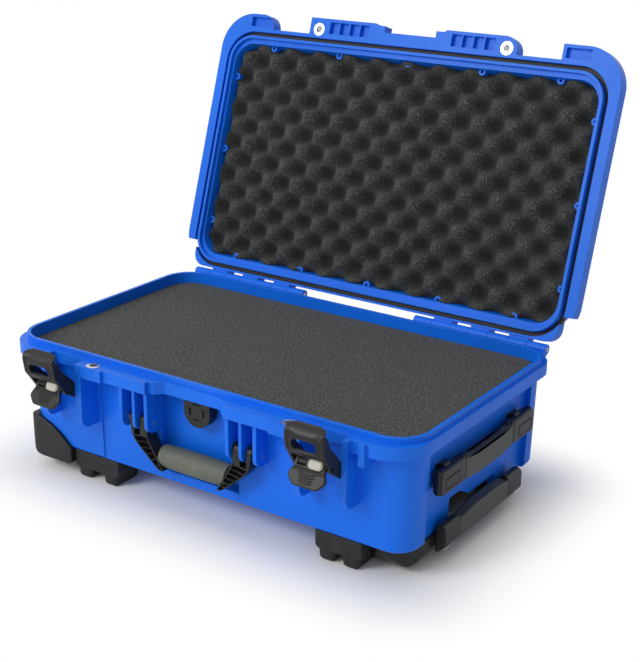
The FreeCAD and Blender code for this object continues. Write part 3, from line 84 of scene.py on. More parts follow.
class Graph:
    """The nodes of a finish or of the studio's light."""

    def __init__(self, owner):
        owner.use_nodes = True
        self.tree = owner.node_tree
        self.tree.nodes.clear()

    def node(self, kind, settings=None, sockets=None, out=0):
        node = self.tree.nodes.new(kind)
        for key, value in (settings or {}).items():
            setattr(node, key, value)
        for key, value in (sockets or {}).items():
            self.feed(node.inputs[key], value)
        return Wire(self, node.outputs[out]) if node.outputs else node

    def feed(self, socket, value):
        if isinstance(value, Wire):
            self.tree.links.new(value.socket, socket)
        else:
            socket.default_value = value

    def between(self, value, low, high, first=0.0, last=1.0):
        return self.node("ShaderNodeMapRange", {"interpolation_type": "SMOOTHSTEP"},
                         {"Value": value, "From Min": low, "From Max": high,
                          "To Min": first, "To Max": last})


class Finish(Graph):
    """One surface finish: a material and the nodes that make it."""

    def __init__(self, name, **constants):
        self.material = bpy.data.materials.new(name)
        super().__init__(self.material)
        sockets = {key.replace("_", " "): value for key, value in constants.items()}
        self.shader = self.node("ShaderNodeBsdfPrincipled", {}, sockets)
        self.surface = self.shader.socket.node
        self.output = self.node("ShaderNodeOutputMaterial", {}, {"Surface": self.shader})
        self.place = self.node("ShaderNodeTexCoord", out="Object")

    def noise(self, scale, detail=2.0, rough=0.5, place=None):
        return self.node("ShaderNodeTexNoise", {}, {"Vector": place or self.place, "Scale": scale,
                                                    "Detail": detail, "Roughness": rough})

    def cells(self, scale, feature="F1"):
        return self.node("ShaderNodeTexVoronoi", {"feature": feature},
                         {"Vector": self.place, "Scale": scale})

    def blend(self, share, first, second):
        return self.node("ShaderNodeMix", {"data_type": "RGBA"}, {0: share, 6: first, 7: second}, out=2)

    def stretched(self, x, y, z):
        return self.node("ShaderNodeVectorMath", {"operation": "MULTIPLY"},
                         {0: self.place, 1: (x, y, z)})

    def softened(self, radius):
        return self.node("ShaderNodeBevel", {"samples": 6}, {"Radius": radius})

    def edge(self, radius):
        """One along sharp edges and nought on flat ground."""
        facing = self.node("ShaderNodeNewGeometry", out="Normal")
        same = self.node("ShaderNodeVectorMath", {"operation": "DOT_PRODUCT"},
                         {0: self.softened(radius), 1: facing}, out="Value")
        return self.between(1 - same, 0.01, 0.14)

    def bump(self, height, strength, distance, below=None):
        sockets = {"Height": height, "Strength": strength, "Distance": distance}
        if below is not None:
            sockets["Normal"] = below
        return self.node("ShaderNodeBump", {}, sockets)

    def set(self, **values):
        for key, value in values.items():
            self.feed(self.surface.inputs[key.replace("_", " ")], value)
        return self.material


def shade(red, green, blue):
    """A colour given as it looks on a screen, from 0 to 255."""
    def linear(value):
        value /= 255
        return value / 12.92 if value <= 0.04045 else ((value + 0.055) / 1.055) ** 2.4
    return (linear(red), linear(green), linear(blue), 1.0)


def moulded(name, body, pale_colour, rough, grain, edge_radius=0.9 * MM, highlight_share=0.5, coat=0.0, shine=0.35):
    """Moulded plastic: a fine sparked grain, broad cloudy shade and a painted highlight in patches along
    the edges.
    """
    finish = Finish(name, Coat_Roughness=0.25, IOR=1.5, Specular_IOR_Level=shine)
    cloud = finish.noise(7.0, 3.0)
    fine = finish.noise(1500.0, 2.0)
    flow = finish.noise(40.0, 2.0, place=finish.stretched(0.35, 1.0, 1.0))
    # Painted highlight: a paler colour laid in patches along sharp edges, where the surface is also made a
    # little less rough.
    edge_highlight = finish.edge(edge_radius) * finish.between(finish.noise(55.0, 4.0), 0.30, 0.62)
    deep = tuple(0.90 * c for c in body[:3]) + (1.0,)
    ground = finish.blend(finish.between(cloud, 0.35, 0.65), deep, body)
    speckled = finish.blend(finish.between(fine, 0.55, 0.80, 0.0, 0.10), ground, pale_colour)
    # The painted edge highlight goes into the colour here.
    colour = finish.blend(edge_highlight * highlight_share, speckled, pale_colour)
    roughness = rough + 0.10 * (fine - 0.5) + 0.10 * (flow - 0.5) - 0.06 * edge_highlight
    normal = finish.bump(fine, 0.35, grain, finish.bump(flow, 0.10, 0.4 * MM,
                                                        finish.softened(edge_radius)))
    return finish.set(Base_Color=colour, Roughness=roughness, Coat_Weight=coat, Normal=normal)


def rubbery(name, body, pale_colour, rough, pebble):
    """Rubber: a dull pebbled skin, dusty on its high spots."""
    finish = Finish(name, IOR=1.45)
    cloud = finish.noise(14.0, 3.0)
    pebbles = finish.cells(pebble)
    fine = finish.noise(2600.0, 2.0)
    dust = finish.between(finish.noise(70.0, 5.0, 0.6), 0.48, 0.75, 0.0, 0.35)
    ground = finish.blend(dust * finish.between(cloud, 0.3, 0.7), body, pale_colour)
    colour = finish.blend(finish.between(pebbles, 0.2, 0.7, 0.22, 0.0), ground, pale_colour)
    roughness = rough + 0.12 * (cloud - 0.5) + 0.08 * (fine - 0.5)
    normal = finish.bump(pebbles, 0.4, 0.25 * MM, finish.bump(fine, 0.25, 0.1 * MM,
                                                              finish.softened(0.6 * MM)))
    return finish.set(Base_Color=colour, Roughness=roughness, Normal=normal)


def brushed(name, body, rough, along):
    """Bare metal: brush lines along the piece, light handling marks."""
    finish = Finish(name, Metallic=1.0)
    lines = finish.noise(900.0, 3.0, place=finish.stretched(*along))
    cloud = finish.noise(25.0, 3.0)
    dull = tuple(0.78 * c for c in body[:3]) + (1.0,)
    colour = finish.blend(finish.between(lines * 0.6 + cloud * 0.4, 0.35, 0.65), dull, body)
    roughness = rough + 0.16 * (lines - 0.5) + 0.12 * (cloud - 0.5)
    normal = finish.bump(lines, 0.18, 0.06 * MM, finish.softened(0.25 * MM))
    return finish.set(Base_Color=colour, Roughness=roughness, Normal=normal)


def open_foam(name, body, pale, dark, crated=False):
    """Open-cell foam: tiny pores, bright cut cells, a soft cloudy shade and, in crate foam, painted shade
    in the crate pits.
    """
    finish = Finish(name, IOR=1.35, Sheen_Weight=0.10, Sheen_Roughness=0.6)
    pores = finish.cells(620.0)
    fleck = finish.noise(430.0, 4.0, 0.7)
    cloud = finish.noise(18.0, 4.0)
    ground = finish.blend(finish.between(cloud, 0.3, 0.7, 0.0, 0.35), body, dark)
    pitted = finish.blend(finish.between(pores, 0.05, 0.45, 0.45, 0.0), ground, dark)
    colour = finish.blend(finish.between(fleck, 0.46, 0.66, 0.0, 0.90), pitted, pale)
    if crated:
        # Painted shade: the colour darkens towards the bottom of each crate pit.
        above = finish.node("ShaderNodeVectorMath", {"operation": "DOT_PRODUCT"},
                            {0: finish.place, 1: LID_UP}, out="Value")
        depth = above - LID_UP.dot(HINGE) + HINGE.z
        colour = finish.blend(finish.between(depth, CRATE_PEAK, CRATE_PIT, 0.0, 0.85), colour, dark)
    roughness = 0.92 + 0.10 * (fleck - 0.5)
    normal = finish.bump(fleck, 0.55, 0.5 * MM, finish.bump(pores, 0.5, 0.6 * MM))
    return finish.set(Base_Color=colour, Roughness=roughness, Normal=normal)


# A finish for each material slot of the case; in each moulded finish the second colour is that of the pale
# grain specks and of the painted edge highlight
SLOT_FINISH = {
    "case_blue": moulded("case_blue", shade(10, 108, 232), shade(70, 150, 246), 0.42, 0.05 * MM, coat=0.05,
                         shine=0.22),
    "hardware_black": moulded("hardware_black", shade(29, 31, 29), shade(78, 79, 74), 0.36, 0.08 * MM,
                              highlight_share=0.45),
    "latch_black": moulded("latch_black", shade(24, 24, 22), shade(74, 72, 66), 0.40, 0.08 * MM),
    "lock_grey": moulded("lock_grey", shade(190, 188, 174), shade(222, 220, 208), 0.42, 0.05 * MM),
    "soft_grip": rubbery("soft_grip", shade(92, 97, 86), shade(116, 119, 106), 0.62, 420.0),
    "side_grip": rubbery("side_grip", shade(58, 61, 59), shade(92, 94, 90), 0.50, 700.0),
    "seal_rubber": rubbery("seal_rubber", shade(24, 24, 25), shade(46, 46, 46), 0.55, 900.0),
    "foot_rubber": rubbery("foot_rubber", shade(25, 27, 26), shade(60, 61, 57), 0.66, 500.0),
    "tyre": rubbery("tyre", shade(30, 30, 30), shade(80, 78, 74), 0.70, 600.0),
    "hub": moulded("hub", shade(58, 60, 60), shade(104, 104, 102), 0.45, 0.06 * MM),
    "bright_steel": brushed("bright_steel", (0.80, 0.80, 0.79, 1.0), 0.22, (1.0, 1.0, 0.05)),
    "pin_steel": brushed("pin_steel", (0.55, 0.55, 0.56, 1.0), 0.34, (0.05, 1.0, 1.0)),
    "tube_metal": brushed("tube_metal", (0.70, 0.71, 0.72, 1.0), 0.30, (0.03, 1.0, 1.0)),
    "foam": open_foam("base_foam", shade(36, 38, 36), shade(104, 105, 99), shade(19, 20, 19)),
    # The lid foam's dark colour also serves as the painted shade in its crate pits.
    "lid_foam": open_foam("lid_foam", shade(48, 50, 47), shade(96, 97, 92), shade(13, 14, 14), crated=True),
}


def wear(obj, finish):
    obj.data.materials.clear()
    obj.data.materials.append(finish)


for name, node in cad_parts.items():
    slots = [s.name for s in node.data.materials if s]
    chosen = next((SLOT_FINISH[s] for s in slots if s in SLOT_FINISH), None)
    wear(node, chosen or SLOT_FINISH["hardware_black"])


def piece(name, mesh, body, slot, stands_for, crisp=True):
    """Finishes a modelled mesh as a piece of the case, in place of one of its solids."""
    bmesh.ops.recalc_face_normals(mesh, faces=mesh.faces)
    data = bpy.data.meshes.new(name)
    mesh.to_mesh(data)
    mesh.free()
    data.shade_smooth()
    obj = bpy.data.objects.new(name, data)
    bpy.context.scene.collection.objects.link(obj)
    if crisp:
        data.set_sharp_from_angle(angle=math.radians(40))
        even = obj.modifiers.new("even_normals", "WEIGHTED_NORMAL")
        even.keep_sharp = True
    wear(obj, SLOT_FINISH[slot])
    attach(obj, body)
    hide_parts(stands_for)
    return obj


def opened():
    """Swings what is drawn on the shut lid to where the open lid stands."""
    return (Matrix.Translation(HINGE) @ Matrix.Rotation(-OPEN_ANGLE, 4, "X")
            @ Matrix.Translation(-HINGE))


# Places, outlines and plates, in millimetres
def along_x(u, v, level):
    return Vector((level, u, v)) * MM


def along_y(u, v, level):
    return Vector((u, level, v)) * MM


def along_z(u, v, level):
    return Vector((u, v, level)) * MM


def rounded(outline, steps=7):
    """The points of an outline whose (u, v, radius) corners are drawn as arcs."""
    path = []
    for i, (u, v, radius) in enumerate(outline):
        here = Vector((u, v))
        if not radius:
            path.append(here)
            continue
        before = (Vector(outline[i - 1][:2]) - here).normalized()
        after = (Vector(outline[(i + 1) % len(outline)][:2]) - here).normalized()
        half = before.angle(after) / 2
        centre = here + (before + after).normalized() * radius / math.sin(half)
        start = (here + before * radius / math.tan(half) - centre) / radius
        end = (here + after * radius / math.tan(half) - centre) / radius
        path += [centre + start.slerp(end, step / steps) * radius for step in range(steps + 1)]
    return path


def plate(mesh, outline, place, start, end, ease=0.0, far_ease=None, steps=7):
    """A block cut to a rounded outline, with its rims eased alike or each by its own size."""
    near = [mesh.verts.new(place(u, v, start)) for u, v in rounded(outline, steps)]
    made = bmesh.ops.extrude_face_region(mesh, geom=[mesh.faces.new(near)], use_keep_orig=True)
    far = [g for g in made["geom"] if isinstance(g, bmesh.types.BMVert)]
    bmesh.ops.translate(mesh, vec=place(0, 0, end) - place(0, 0, start), verts=far)
    rims = [[e for e in mesh.edges if set(e.verts) <= set(ring)] for ring in (near, far)]
    for rim, size in zip(rims, (ease, ease if far_ease is None else far_ease)):
        if size:
            bmesh.ops.bevel(mesh, geom=rim, offset=size * MM, offset_type="OFFSET", affect="EDGES",
                            segments=4, profile=0.5, material=-1, clamp_overlap=True)


def oblong(u0, u1, v0, v1, radius):
    return [(u0, v0, radius), (u1, v0, radius), (u1, v1, radius), (u0, v1, radius)]


def running(points):
    """How far along a line of straight runs each of its points lies."""
    lengths = [0.0]
    for first, second in zip(points, points[1:]):
        lengths.append(lengths[-1] + (second - first).length)
    return lengths


# Base foam
def soft_block(node, name, edge):
    """A foam block cut to the room in the base, with its upper rim pressed round."""
    mesh = bmesh.new()
    mesh.from_mesh(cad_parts[node].data)
    bmesh.ops.transform(mesh, matrix=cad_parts[node].matrix_world, verts=mesh.verts)
    bmesh.ops.remove_doubles(mesh, verts=mesh.verts, dist=SAME_PLACE)
    bmesh.ops.dissolve_limit(mesh, angle_limit=math.radians(1), verts=mesh.verts, edges=mesh.edges)
    top = max(v.co.z for v in mesh.verts)
    rim = [e for e in mesh.edges if all(abs(v.co.z - top) < SAME_PLACE for v in e.verts)]
    bmesh.ops.bevel(mesh, geom=rim, offset=edge, offset_type="OFFSET", affect="EDGES",
                    segments=5, profile=0.5, material=-1)
    obj = piece(name, mesh, "base", "foam", node)


soft_block("base_foam_block", "cubed_foam_block", 2.5 * MM)
soft_block("base_foam_pad", "floor_foam_pad", 1.5 * MM)


# Lid foam: a sheet of staggered bumps
def crated_foam():
    half_x, half_y, corner, draft = 255.0 * MM, 139.0 * MM, 26 * MM, 0.141
    middle, swing, pitch = (CRATE_PEAK + CRATE_PIT) / 2, (CRATE_PIT - CRATE_PEAK) / 2, 22.0 * MM
    back = 222 * MM
    mesh = bmesh.new()
    bmesh.ops.create_grid(mesh, x_segments=204, y_segments=112, size=1.0)
    for vert in mesh.verts:
        x, y = vert.co.x * half_x, vert.co.y * half_y
        over_x, over_y = abs(x) - (half_x - corner), abs(y) - (half_y - corner)
        reach = math.hypot(over_x, over_y)
        if over_x > 0 and over_y > 0 and reach > corner:
            x = math.copysign(half_x - corner + over_x * corner / reach, x)
            y = math.copysign(half_y - corner + over_y * corner / reach, y)
        wave = math.cos(math.pi * x / pitch) * math.cos(math.pi * (y / pitch + 0.5))
        lift = math.copysign(abs(wave) ** 0.85, wave)
        vert.co = (x, y, middle - swing * lift)
    border = [e for e in mesh.edges if e.is_boundary]
    made = bmesh.ops.extrude_edge_only(mesh, edges=border)
    for vert in (v for v in made["geom"] if isinstance(v, bmesh.types.BMVert)):
        vert.co.z = back
    bmesh.ops.holes_fill(mesh, edges=[e for e in mesh.edges if e.is_boundary], sides=0)
    for vert in mesh.verts:
        slope = draft * (vert.co.z - CRATE_PEAK)
        vert.co.x *= 1 - slope / half_x
        vert.co.y *= 1 - slope / half_y
    bmesh.ops.transform(mesh, matrix=opened(), verts=mesh.verts)
    obj = piece("egg_crate_foam", mesh, "lid", "lid_foam", "lid_foam", crisp=False)


crated_foam()


# Latches, drawn shut and then swung to where they stand
LATCH_X = 175.25
CLAW_PIN = Vector((0, -168.0, 117.0)) * MM
LEVER_PIN = Vector((0, -177.0, 139.0)) * MM
CLAW_LEANS = {LEFT: 39.0, RIGHT: 35.0}
LEVER_LEAN = 30.0
SIDE_NAMES = {LEFT: "left", RIGHT: "right"}
CLAW_HALF, CHEEK_THICK = 23.2, 4.4
FLAP_FRONT, FLAP_BACK, FLAP_HALF = -181.9, -177.6, 18.1
EAR_LOW, EAR_HIGH = 134.0, 144.4
EAR_SPANS = ((-FLAP_HALF, -14.6), (-4.6, FLAP_HALF))
RIB_COUNT, RIB_PITCH, RIB_LOW = 4, 3.0, 117.6
LOCK_SPAN = (-0.4, 15.8)


def swung(pin, degrees):
    return (Matrix.Translation(pin) @ Matrix.Rotation(math.radians(degrees), 4, "X")
            @ Matrix.Translation(-pin))


def claw_rest(side):
    return Matrix.Translation((side * LATCH_X * MM, 0, 0)) @ swung(CLAW_PIN, CLAW_LEANS[side])


def lever_rest(side):
    return claw_rest(side) @ swung(LEVER_PIN, -LEVER_LEAN - CLAW_LEANS[side])


def ray_to(path, centre, angle):
    """Where a ray from the centre meets a closed outline."""
    ray = Vector((math.cos(angle), math.sin(angle)))
    reach = 0.0
    for first, second in zip(path, path[1:] + path[:1]):
        side = second - first
        cross = ray.x * side.y - ray.y * side.x
        if abs(cross) < 1e-9:
            continue
        off = first - centre
        far = (off.x * side.y - off.y * side.x) / cross
        share = (off.x * ray.y - off.y * ray.x) / cross
        if far > 0 and -1e-6 <= share <= 1 + 1e-6:
            reach = max(reach, far)
    return centre + ray * reach


def ringed(mesh, border, window, shares, lifts, place, thick):
    """A thick plate between a border and a window, raised and lowered in rings round the window."""
    columns = 144
    made = bmesh.ops.create_grid(mesh, x_segments=columns, y_segments=len(shares) - 1, size=1.0)
    centre = sum(window, Vector((0, 0))) / len(window)
    for vert in made["verts"]:
        column = round((vert.co.x + 1) / 2 * columns)
        ring = round((vert.co.y + 1) / 2 * (len(shares) - 1))
        angle = 2 * math.pi * (column % columns) / columns
        outer, inner = ray_to(border, centre, angle), ray_to(window, centre, angle)
        u, v = outer.lerp(inner, shares[ring])
        vert.co = place(u, v, lifts[ring])
    bmesh.ops.remove_doubles(mesh, verts=made["verts"], dist=0.001 * MM)
    faces = list({f for v in made["verts"] if v.is_valid for f in v.link_faces})
    bmesh.ops.recalc_face_normals(mesh, faces=faces)
    bmesh.ops.solidify(mesh, geom=faces, thickness=thick * MM)


def claw_face(mesh):
    """The broad curved plate of the claw: a bead round its window and another round its edge."""
    spine = rounded([(-178.9, 153.8, 0), (-178.7, 163.0, 13), (-168.6, 181.2, 7), (-157.2, 179.6, 0)])
    spine = [p for p, q in zip(spine, spine[1:]) if (p - q).length > 1e-6] + [spine[-1]]
    lengths = running(spine)
    total = lengths[-1]

    def surface(u, s, lift):
        s = min(max(s, 0.0), total)
        i = next((k for k in range(1, len(spine) - 1) if s < lengths[k]), len(spine) - 1)
        step = (spine[i] - spine[i - 1]).normalized()
        point = spine[i - 1] + step * (s - lengths[i - 1]) + Vector((-step.y, step.x)) * lift
        return along_x(point.x, point.y, u)

    border = rounded([(-21.4, 0, 3), (21.4, 0, 3), (CLAW_HALF, total, 7), (-CLAW_HALF, total, 7)])
    window = rounded(oblong(-14.2, 14.2, 8.2, 20.4, 5.0))
    shares = (0.0, 0.05, 0.14, 0.26, 0.40, 0.55, 0.68, 0.80, 0.90, 0.97, 1.0)
    lifts = (-0.8, 0.5, 0.9, 0.5, -0.2, -0.2, 0.5, 1.0, 1.0, 0.4, -0.8)
    ringed(mesh, border, window, shares, lifts, surface, 3.2)


def claw(side):
    mesh = bmesh.new()
    claw_face(mesh)
    cheek = [(-179.6, 152.0, 2), (-179.0, 163.0, 5), (-170.0, 179.0, 4), (-163.4, 176.0, 2),
             (-166.4, 160.0, 10), (-163.3, 140.0, 8), (-163.1, 116.0, 1), (-165.0, 111.8, 2.5),
             (-171.0, 111.8, 3.5), (-180.8, 136.0, 5)]
    for x in (-CLAW_HALF, CLAW_HALF - CHEEK_THICK):
        plate(mesh, cheek, along_x, x, x + CHEEK_THICK, 1.3)
    plate(mesh, oblong(-157.7, -156.6, 173.8, 180.2, 0.3), along_x, -15.0, 15.0, 0.3)
    plate(mesh, oblong(-20.0, 20.0, 154.7, 160.0, 1.5), along_y, -179.4, -175.5, 1.0)
    bmesh.ops.transform(mesh, matrix=claw_rest(side), verts=mesh.verts)
    name = SIDE_NAMES[side]
    piece("claw_" + name, mesh, "claw_" + name, "latch_black", "latch_claw_" + name)


def lever(side):
    mesh = bmesh.new()
    flap = [(-17.6, 135.0, 2), (-22.9, 123.5, 6), (-14.5, 114.2, 6), (14.5, 114.2, 6), (22.9, 123.5, 6),
            (17.6, 135.0, 2)]
    plate(mesh, flap, along_y, FLAP_FRONT, FLAP_BACK, 1.6)
    plate(mesh, oblong(-FLAP_HALF, FLAP_HALF, 129.0, 135.2, 1.5), along_y, FLAP_FRONT, FLAP_BACK, 1.0)
    for start, end in EAR_SPANS:
        plate(mesh, oblong(start, end, EAR_LOW, EAR_HIGH, 1.0), along_y, FLAP_FRONT, FLAP_BACK, 0.8)
    plate(mesh, oblong(-181.0, -173.0, 135.0, 143.0, 3.99), along_x, -FLAP_HALF, FLAP_HALF, 0.4)
    for index in range(RIB_COUNT):
        z = RIB_LOW + RIB_PITCH * index
        half = 7.5 + 0.9 * index
        rib = [(-half, z + 1.6, 0.4), (0, z - 0.9, 14), (half, z + 1.6, 0.4), (half, z + 2.7, 0.4),
               (0, z + 0.2, 14), (-half, z + 2.7, 0.4)]
        plate(mesh, rib, along_y, -182.75, -181.0, 0.4, steps=4)
    bmesh.ops.transform(mesh, matrix=lever_rest(side), verts=mesh.verts)
    name = SIDE_NAMES[side]
    piece("flap_" + name, mesh, "lever_" + name, "latch_black", "latch_lever_" + name)


def lock(side):
    mesh = bmesh.new()
    plate(mesh, oblong(*LOCK_SPAN, 133.6, 144.4, 4.6), along_y, -186.2, -182.4, 1.9, 0.4)
    bmesh.ops.transform(mesh, matrix=lever_rest(side), verts=mesh.verts)
    name = SIDE_NAMES[side]
    piece("lock_button_" + name, mesh, "lock_" + name, "lock_grey", "latch_lock_" + name)


for latch in (LEFT, RIGHT):
    claw(latch)
    lever(latch)
    lock(latch)


# Front handle
GRIP_AXIS = Vector((0, -152.0, 66.0)) * MM


def turned_grip():
    """A soft sleeve, a little fuller in its middle, turned round the bar."""
    half, middle, end, ease = 45.4, 13.35, 12.6, 1.8
    profile = [(-half, 0.0), (-half, end - ease), (-half + 0.5, end - 0.5), (-half + ease, end)]
    for step in range(1, 12):
        x = (half - ease) * (step / 6 - 1)
        profile.append((x, end + (middle - end) * math.cos(math.pi / 2 * x / half)))
    profile += [(-x, r) for x, r in reversed(profile[:4])]
    mesh = bmesh.new()
    verts = [mesh.verts.new(GRIP_AXIS + Vector((x, 0, r)) * MM) for x, r in profile]
    edges = [mesh.edges.new(pair) for pair in zip(verts, verts[1:])]
    bmesh.ops.spin(mesh, geom=verts + edges, cent=GRIP_AXIS, axis=(1, 0, 0), angle=2 * math.pi,
                   steps=64, use_merge=True)
    bmesh.ops.remove_doubles(mesh, verts=mesh.verts, dist=0.001 * MM)
    piece("front_grip", mesh, "front_handle", "soft_grip", "front_handle_grip")


def evenly(points, count):
    """Points at equal steps along a line of straight runs."""
    points = [Vector(p) for p in points]
    lengths = running(points)
    spread = []
    for step in range(count + 1):
        goal = lengths[-1] * step / count
        i = next((k for k in range(1, len(points)) if goal <= lengths[k] + 1e-9), len(points) - 1)
        share = (goal - lengths[i - 1]) / (lengths[i] - lengths[i - 1])
        spread.append(points[i - 1].lerp(points[i], share))
    return spread


def front_arm(mesh, side):
    """A curved arm, hollow in front between thin rims and cross fins, with a fork at its top."""
    along, across = 150, 44
    front, floor, back = -165.4, -156.5, -150.9
    rim, fin, fins, length = 1.5, 1.3, 6, 52.0
    bay = length / fins
    fork_low, fork_high, fork_round = 86.6, 111.3, 7.2
    taper_top, taper = 96.0, 0.3
    outer = evenly([(79.2, 87.2), (78.1, 85), (74.6, 80), (69.5, 75), (63.6, 70), (57.6, 65), (51.7, 60),
                    (45.9, 55.3), (41.5, 53.0)], along)
    inner = evenly([(57.9, 88.6), (56.2, 85), (53.2, 80), (50.2, 75), (47.2, 70), (44.2, 65), (41.2, 60),
                    (38.6, 55.6), (37.3, 53.0)], along)
    made = bmesh.ops.create_grid(mesh, x_segments=along, y_segments=across, size=1.0)["verts"]
    for vert in made:
        run = round((vert.co.x + 1) / 2 * along)
        share = round((vert.co.y + 1) / 2 * across) / across
        x, z = outer[run].lerp(inner[run], share)
        width = (inner[run] - outer[run]).length
        down = run / along * length
        clear = min(share * width - rim, (1 - share) * width - rim, down - rim,
                    abs((down + bay / 2) % bay - bay / 2) - fin / 2)
        vert.co = along_y(side * x, z, floor if clear > 0 else front)
    border = [e for e in mesh.edges if e.is_boundary]
    skirt = bmesh.ops.extrude_edge_only(mesh, edges=border)["geom"]
    for vert in (g for g in skirt if isinstance(g, bmesh.types.BMVert)):
        vert.co.y = back * MM
    bmesh.ops.holes_fill(mesh, edges=[e for e in mesh.edges if e.is_boundary], sides=0)
    prong = [(front, fork_low, 0.3), (back, fork_low, 0.3), (back, fork_high, fork_round),
             (front, fork_high, fork_round)]
    plate(mesh, prong, along_x, side * 57.9, side * 68.2, 0.8)
    before = set(mesh.verts)
    plate(mesh, prong, along_x, side * 76.4, side * 82.5, 0.8)
    for vert in set(mesh.verts) - before:
        if abs(vert.co.x) > 79.5 * MM and vert.co.z < taper_top * MM:
            vert.co.x -= side * (taper_top * MM - vert.co.z) * taper


def front_frame():
    """The two arms and the bar that runs through the grip."""
    mesh = bmesh.new()
    for side in (LEFT, RIGHT):
        front_arm(mesh, side)
    turned = Matrix.Translation(GRIP_AXIS) @ Matrix.Rotation(math.pi / 2, 4, "Y")
    radius, length = 8.4 * MM, 100 * MM
    bmesh.ops.create_cone(mesh, cap_ends=True, segments=48, radius1=radius, radius2=radius,
                          depth=length, matrix=turned)
    piece("handle_arms", mesh, "front_handle", "hardware_black", "front_handle_frame")


turned_grip()
front_frame()


# Side handle: two end blocks with a D-shaped back, a bowed band and a cap in each block
SIDE_FACE, SIDE_BACK = 272.9, 257.5
BLOCK_NEAR, BLOCK_FAR = 53.0, 102.8
BLOCK_LOW, BLOCK_HIGH = 87.1, 113.1
BRACKET_NEAR, BRACKET_FAR = 71.4, 84.6


def side_blocks():
    """End blocks with a window for each cap, sloped at the top behind to clear the wall."""
    window = rounded(oblong(66.2, 95.8, 91.2, 103.8, 2.0))
    border = rounded(oblong(BLOCK_NEAR, BLOCK_FAR, BLOCK_LOW, BLOCK_HIGH, 5.0))
    shares = (0.0, 0.03, 0.09, 0.20, 0.94, 0.98, 1.0)
    lifts = (-2.4, -0.8, -0.1, 0.0, 0.0, -0.3, -1.4)
    front = [(266.6, BLOCK_NEAR, 0.5), (271.3, BLOCK_NEAR, 2.0), (271.3, BLOCK_FAR, 3.0),
             (266.6, BLOCK_FAR, 1.0)]
    inner = [(268.5, 46.4, 1.0), (268.5, BRACKET_NEAR, 0), (SIDE_BACK, BRACKET_NEAR, 0.5),
             (SIDE_BACK, 66.0, 7), (263.5, 48.0, 9)]
    outer = [(268.5, BRACKET_FAR, 0), (268.5, BLOCK_FAR, 1.0), (265.0, BLOCK_FAR, 7),
             (SIDE_BACK, 95.5, 7), (SIDE_BACK, BRACKET_FAR, 0.5)]
    slope_front, slope_low, slope = 264 * MM, 110 * MM, 0.55
    mesh = bmesh.new()
    for side in (LEFT, RIGHT):
        def face(y, z, lift):
            return along_x(side * y, z, SIDE_FACE + lift)
        ringed(mesh, border, window, shares, lifts, face, 1.5)
        for plan in (front, inner, outer):
            outline = [(x, side * y, r) for x, y, r in plan]
            plate(mesh, outline, along_z, BLOCK_LOW, BLOCK_HIGH, 2.4, 3.6)
    for vert in mesh.verts:
        behind = slope_front - vert.co.x
        if behind > 0 and vert.co.z > slope_low:
            vert.co.z -= slope * behind
    plate(mesh, oblong(-60.0, 60.0, 92.2, 102.8, 1.0), along_x, 266.2, 269.8, 0.5)
    piece("side_end_blocks", mesh, "side_handle", "hardware_black", "side_handle_frame")


def side_band():
    mesh = bmesh.new()
    band = [(-52.6, 87.4, 1.0), (-26.0, 84.2, 44), (26.0, 84.2, 44), (52.6, 87.4, 1.0),
            (52.6, 111.4, 1.0), (26.0, 108.0, 44), (-26.0, 108.0, 44), (-52.6, 111.4, 1.0)]
    plate(mesh, band, along_x, 263.2, SIDE_FACE, 3.2, 2.6, steps=10)
    piece("side_band", mesh, "side_handle", "side_grip", "side_handle_grip")


side_blocks()
side_band()


# Pull handle: rounded corner blocks either side of an arched bar
PULL_BACK, PULL_FRONT = 258.1, 270.9
CHEEK_FRONT = 268.6
BAR_LOW, BAR_HALF, BAR_END = 22.1, 53.8, 43.0
HOLLOW_HALF = 22.6


def pull_corner(side, name):
    mesh = bmesh.new()
    profile = [(PULL_BACK, 14.5, 1.0), (262.0, 14.5, 4.0), (PULL_FRONT, 23.0, 6.0),
               (PULL_FRONT, 45.9, 6.0), (PULL_BACK, 45.9, 5.0)]
    plate(mesh, profile, along_y, side * 54.2, side * 85.9, 0.5, 6.5)
    piece("pull_corner_" + name, mesh, "pull_handle", "hardware_black", "pull_block_" + name)


def pull_bar():
    """A front skin, a cheek at each end and a lip above and below the hollow behind."""
    mesh = bmesh.new()
    bar = [(-BAR_HALF, BAR_LOW, 1.0), (BAR_HALF, BAR_LOW, 1.0), (BAR_HALF, BAR_END, 1.0),
           (27.0, 46.4, 27), (-27.0, 46.4, 27), (-BAR_HALF, BAR_END, 1.0)]
    plate(mesh, bar, along_x, 268.4, PULL_FRONT, 0.4, 2.4, steps=10)
    for side in (LEFT, RIGHT):
        cheek = [(side * 22.4, BAR_LOW, 0), (side * BAR_HALF, BAR_LOW, 1.0),
                 (side * BAR_HALF, BAR_END, 1.0), (side * 27.0, 46.2, 20), (side * 22.4, 46.4, 0)]
        plate(mesh, cheek, along_x, PULL_BACK, CHEEK_FRONT, 2.6, 0)
    for low, high in ((39.4, 46.3), (BAR_LOW, 28.6)):
        lip = oblong(-HOLLOW_HALF, HOLLOW_HALF, low, high, 0.5)
        plate(mesh, lip, along_x, PULL_BACK, CHEEK_FRONT, 2.0, 0)
    piece("pull_bar", mesh, "pull_handle", "side_grip", "pull_grip")


pull_corner(LEFT, "front")
pull_corner(RIGHT, "rear")
pull_bar()


# Chunky mouldings lose their sharp arrises
CHUNKS = [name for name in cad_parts
          if name.startswith(("wheel_housing", "foot_", "corner_guard"))
          and name != "foot_screws"]


def soften(node, grid, rounds):
    """Gives a solid an even skin and rounds its arrises."""
    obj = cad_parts[node]
    skin = obj.modifiers.new("even_skin", "REMESH")
    skin.mode = "VOXEL"
    skin.voxel_size = grid
    skin.use_smooth_shade = True
    smooth = obj.modifiers.new("worn_arrises", "SMOOTH")
    smooth.factor = 0.5
    smooth.iterations = rounds


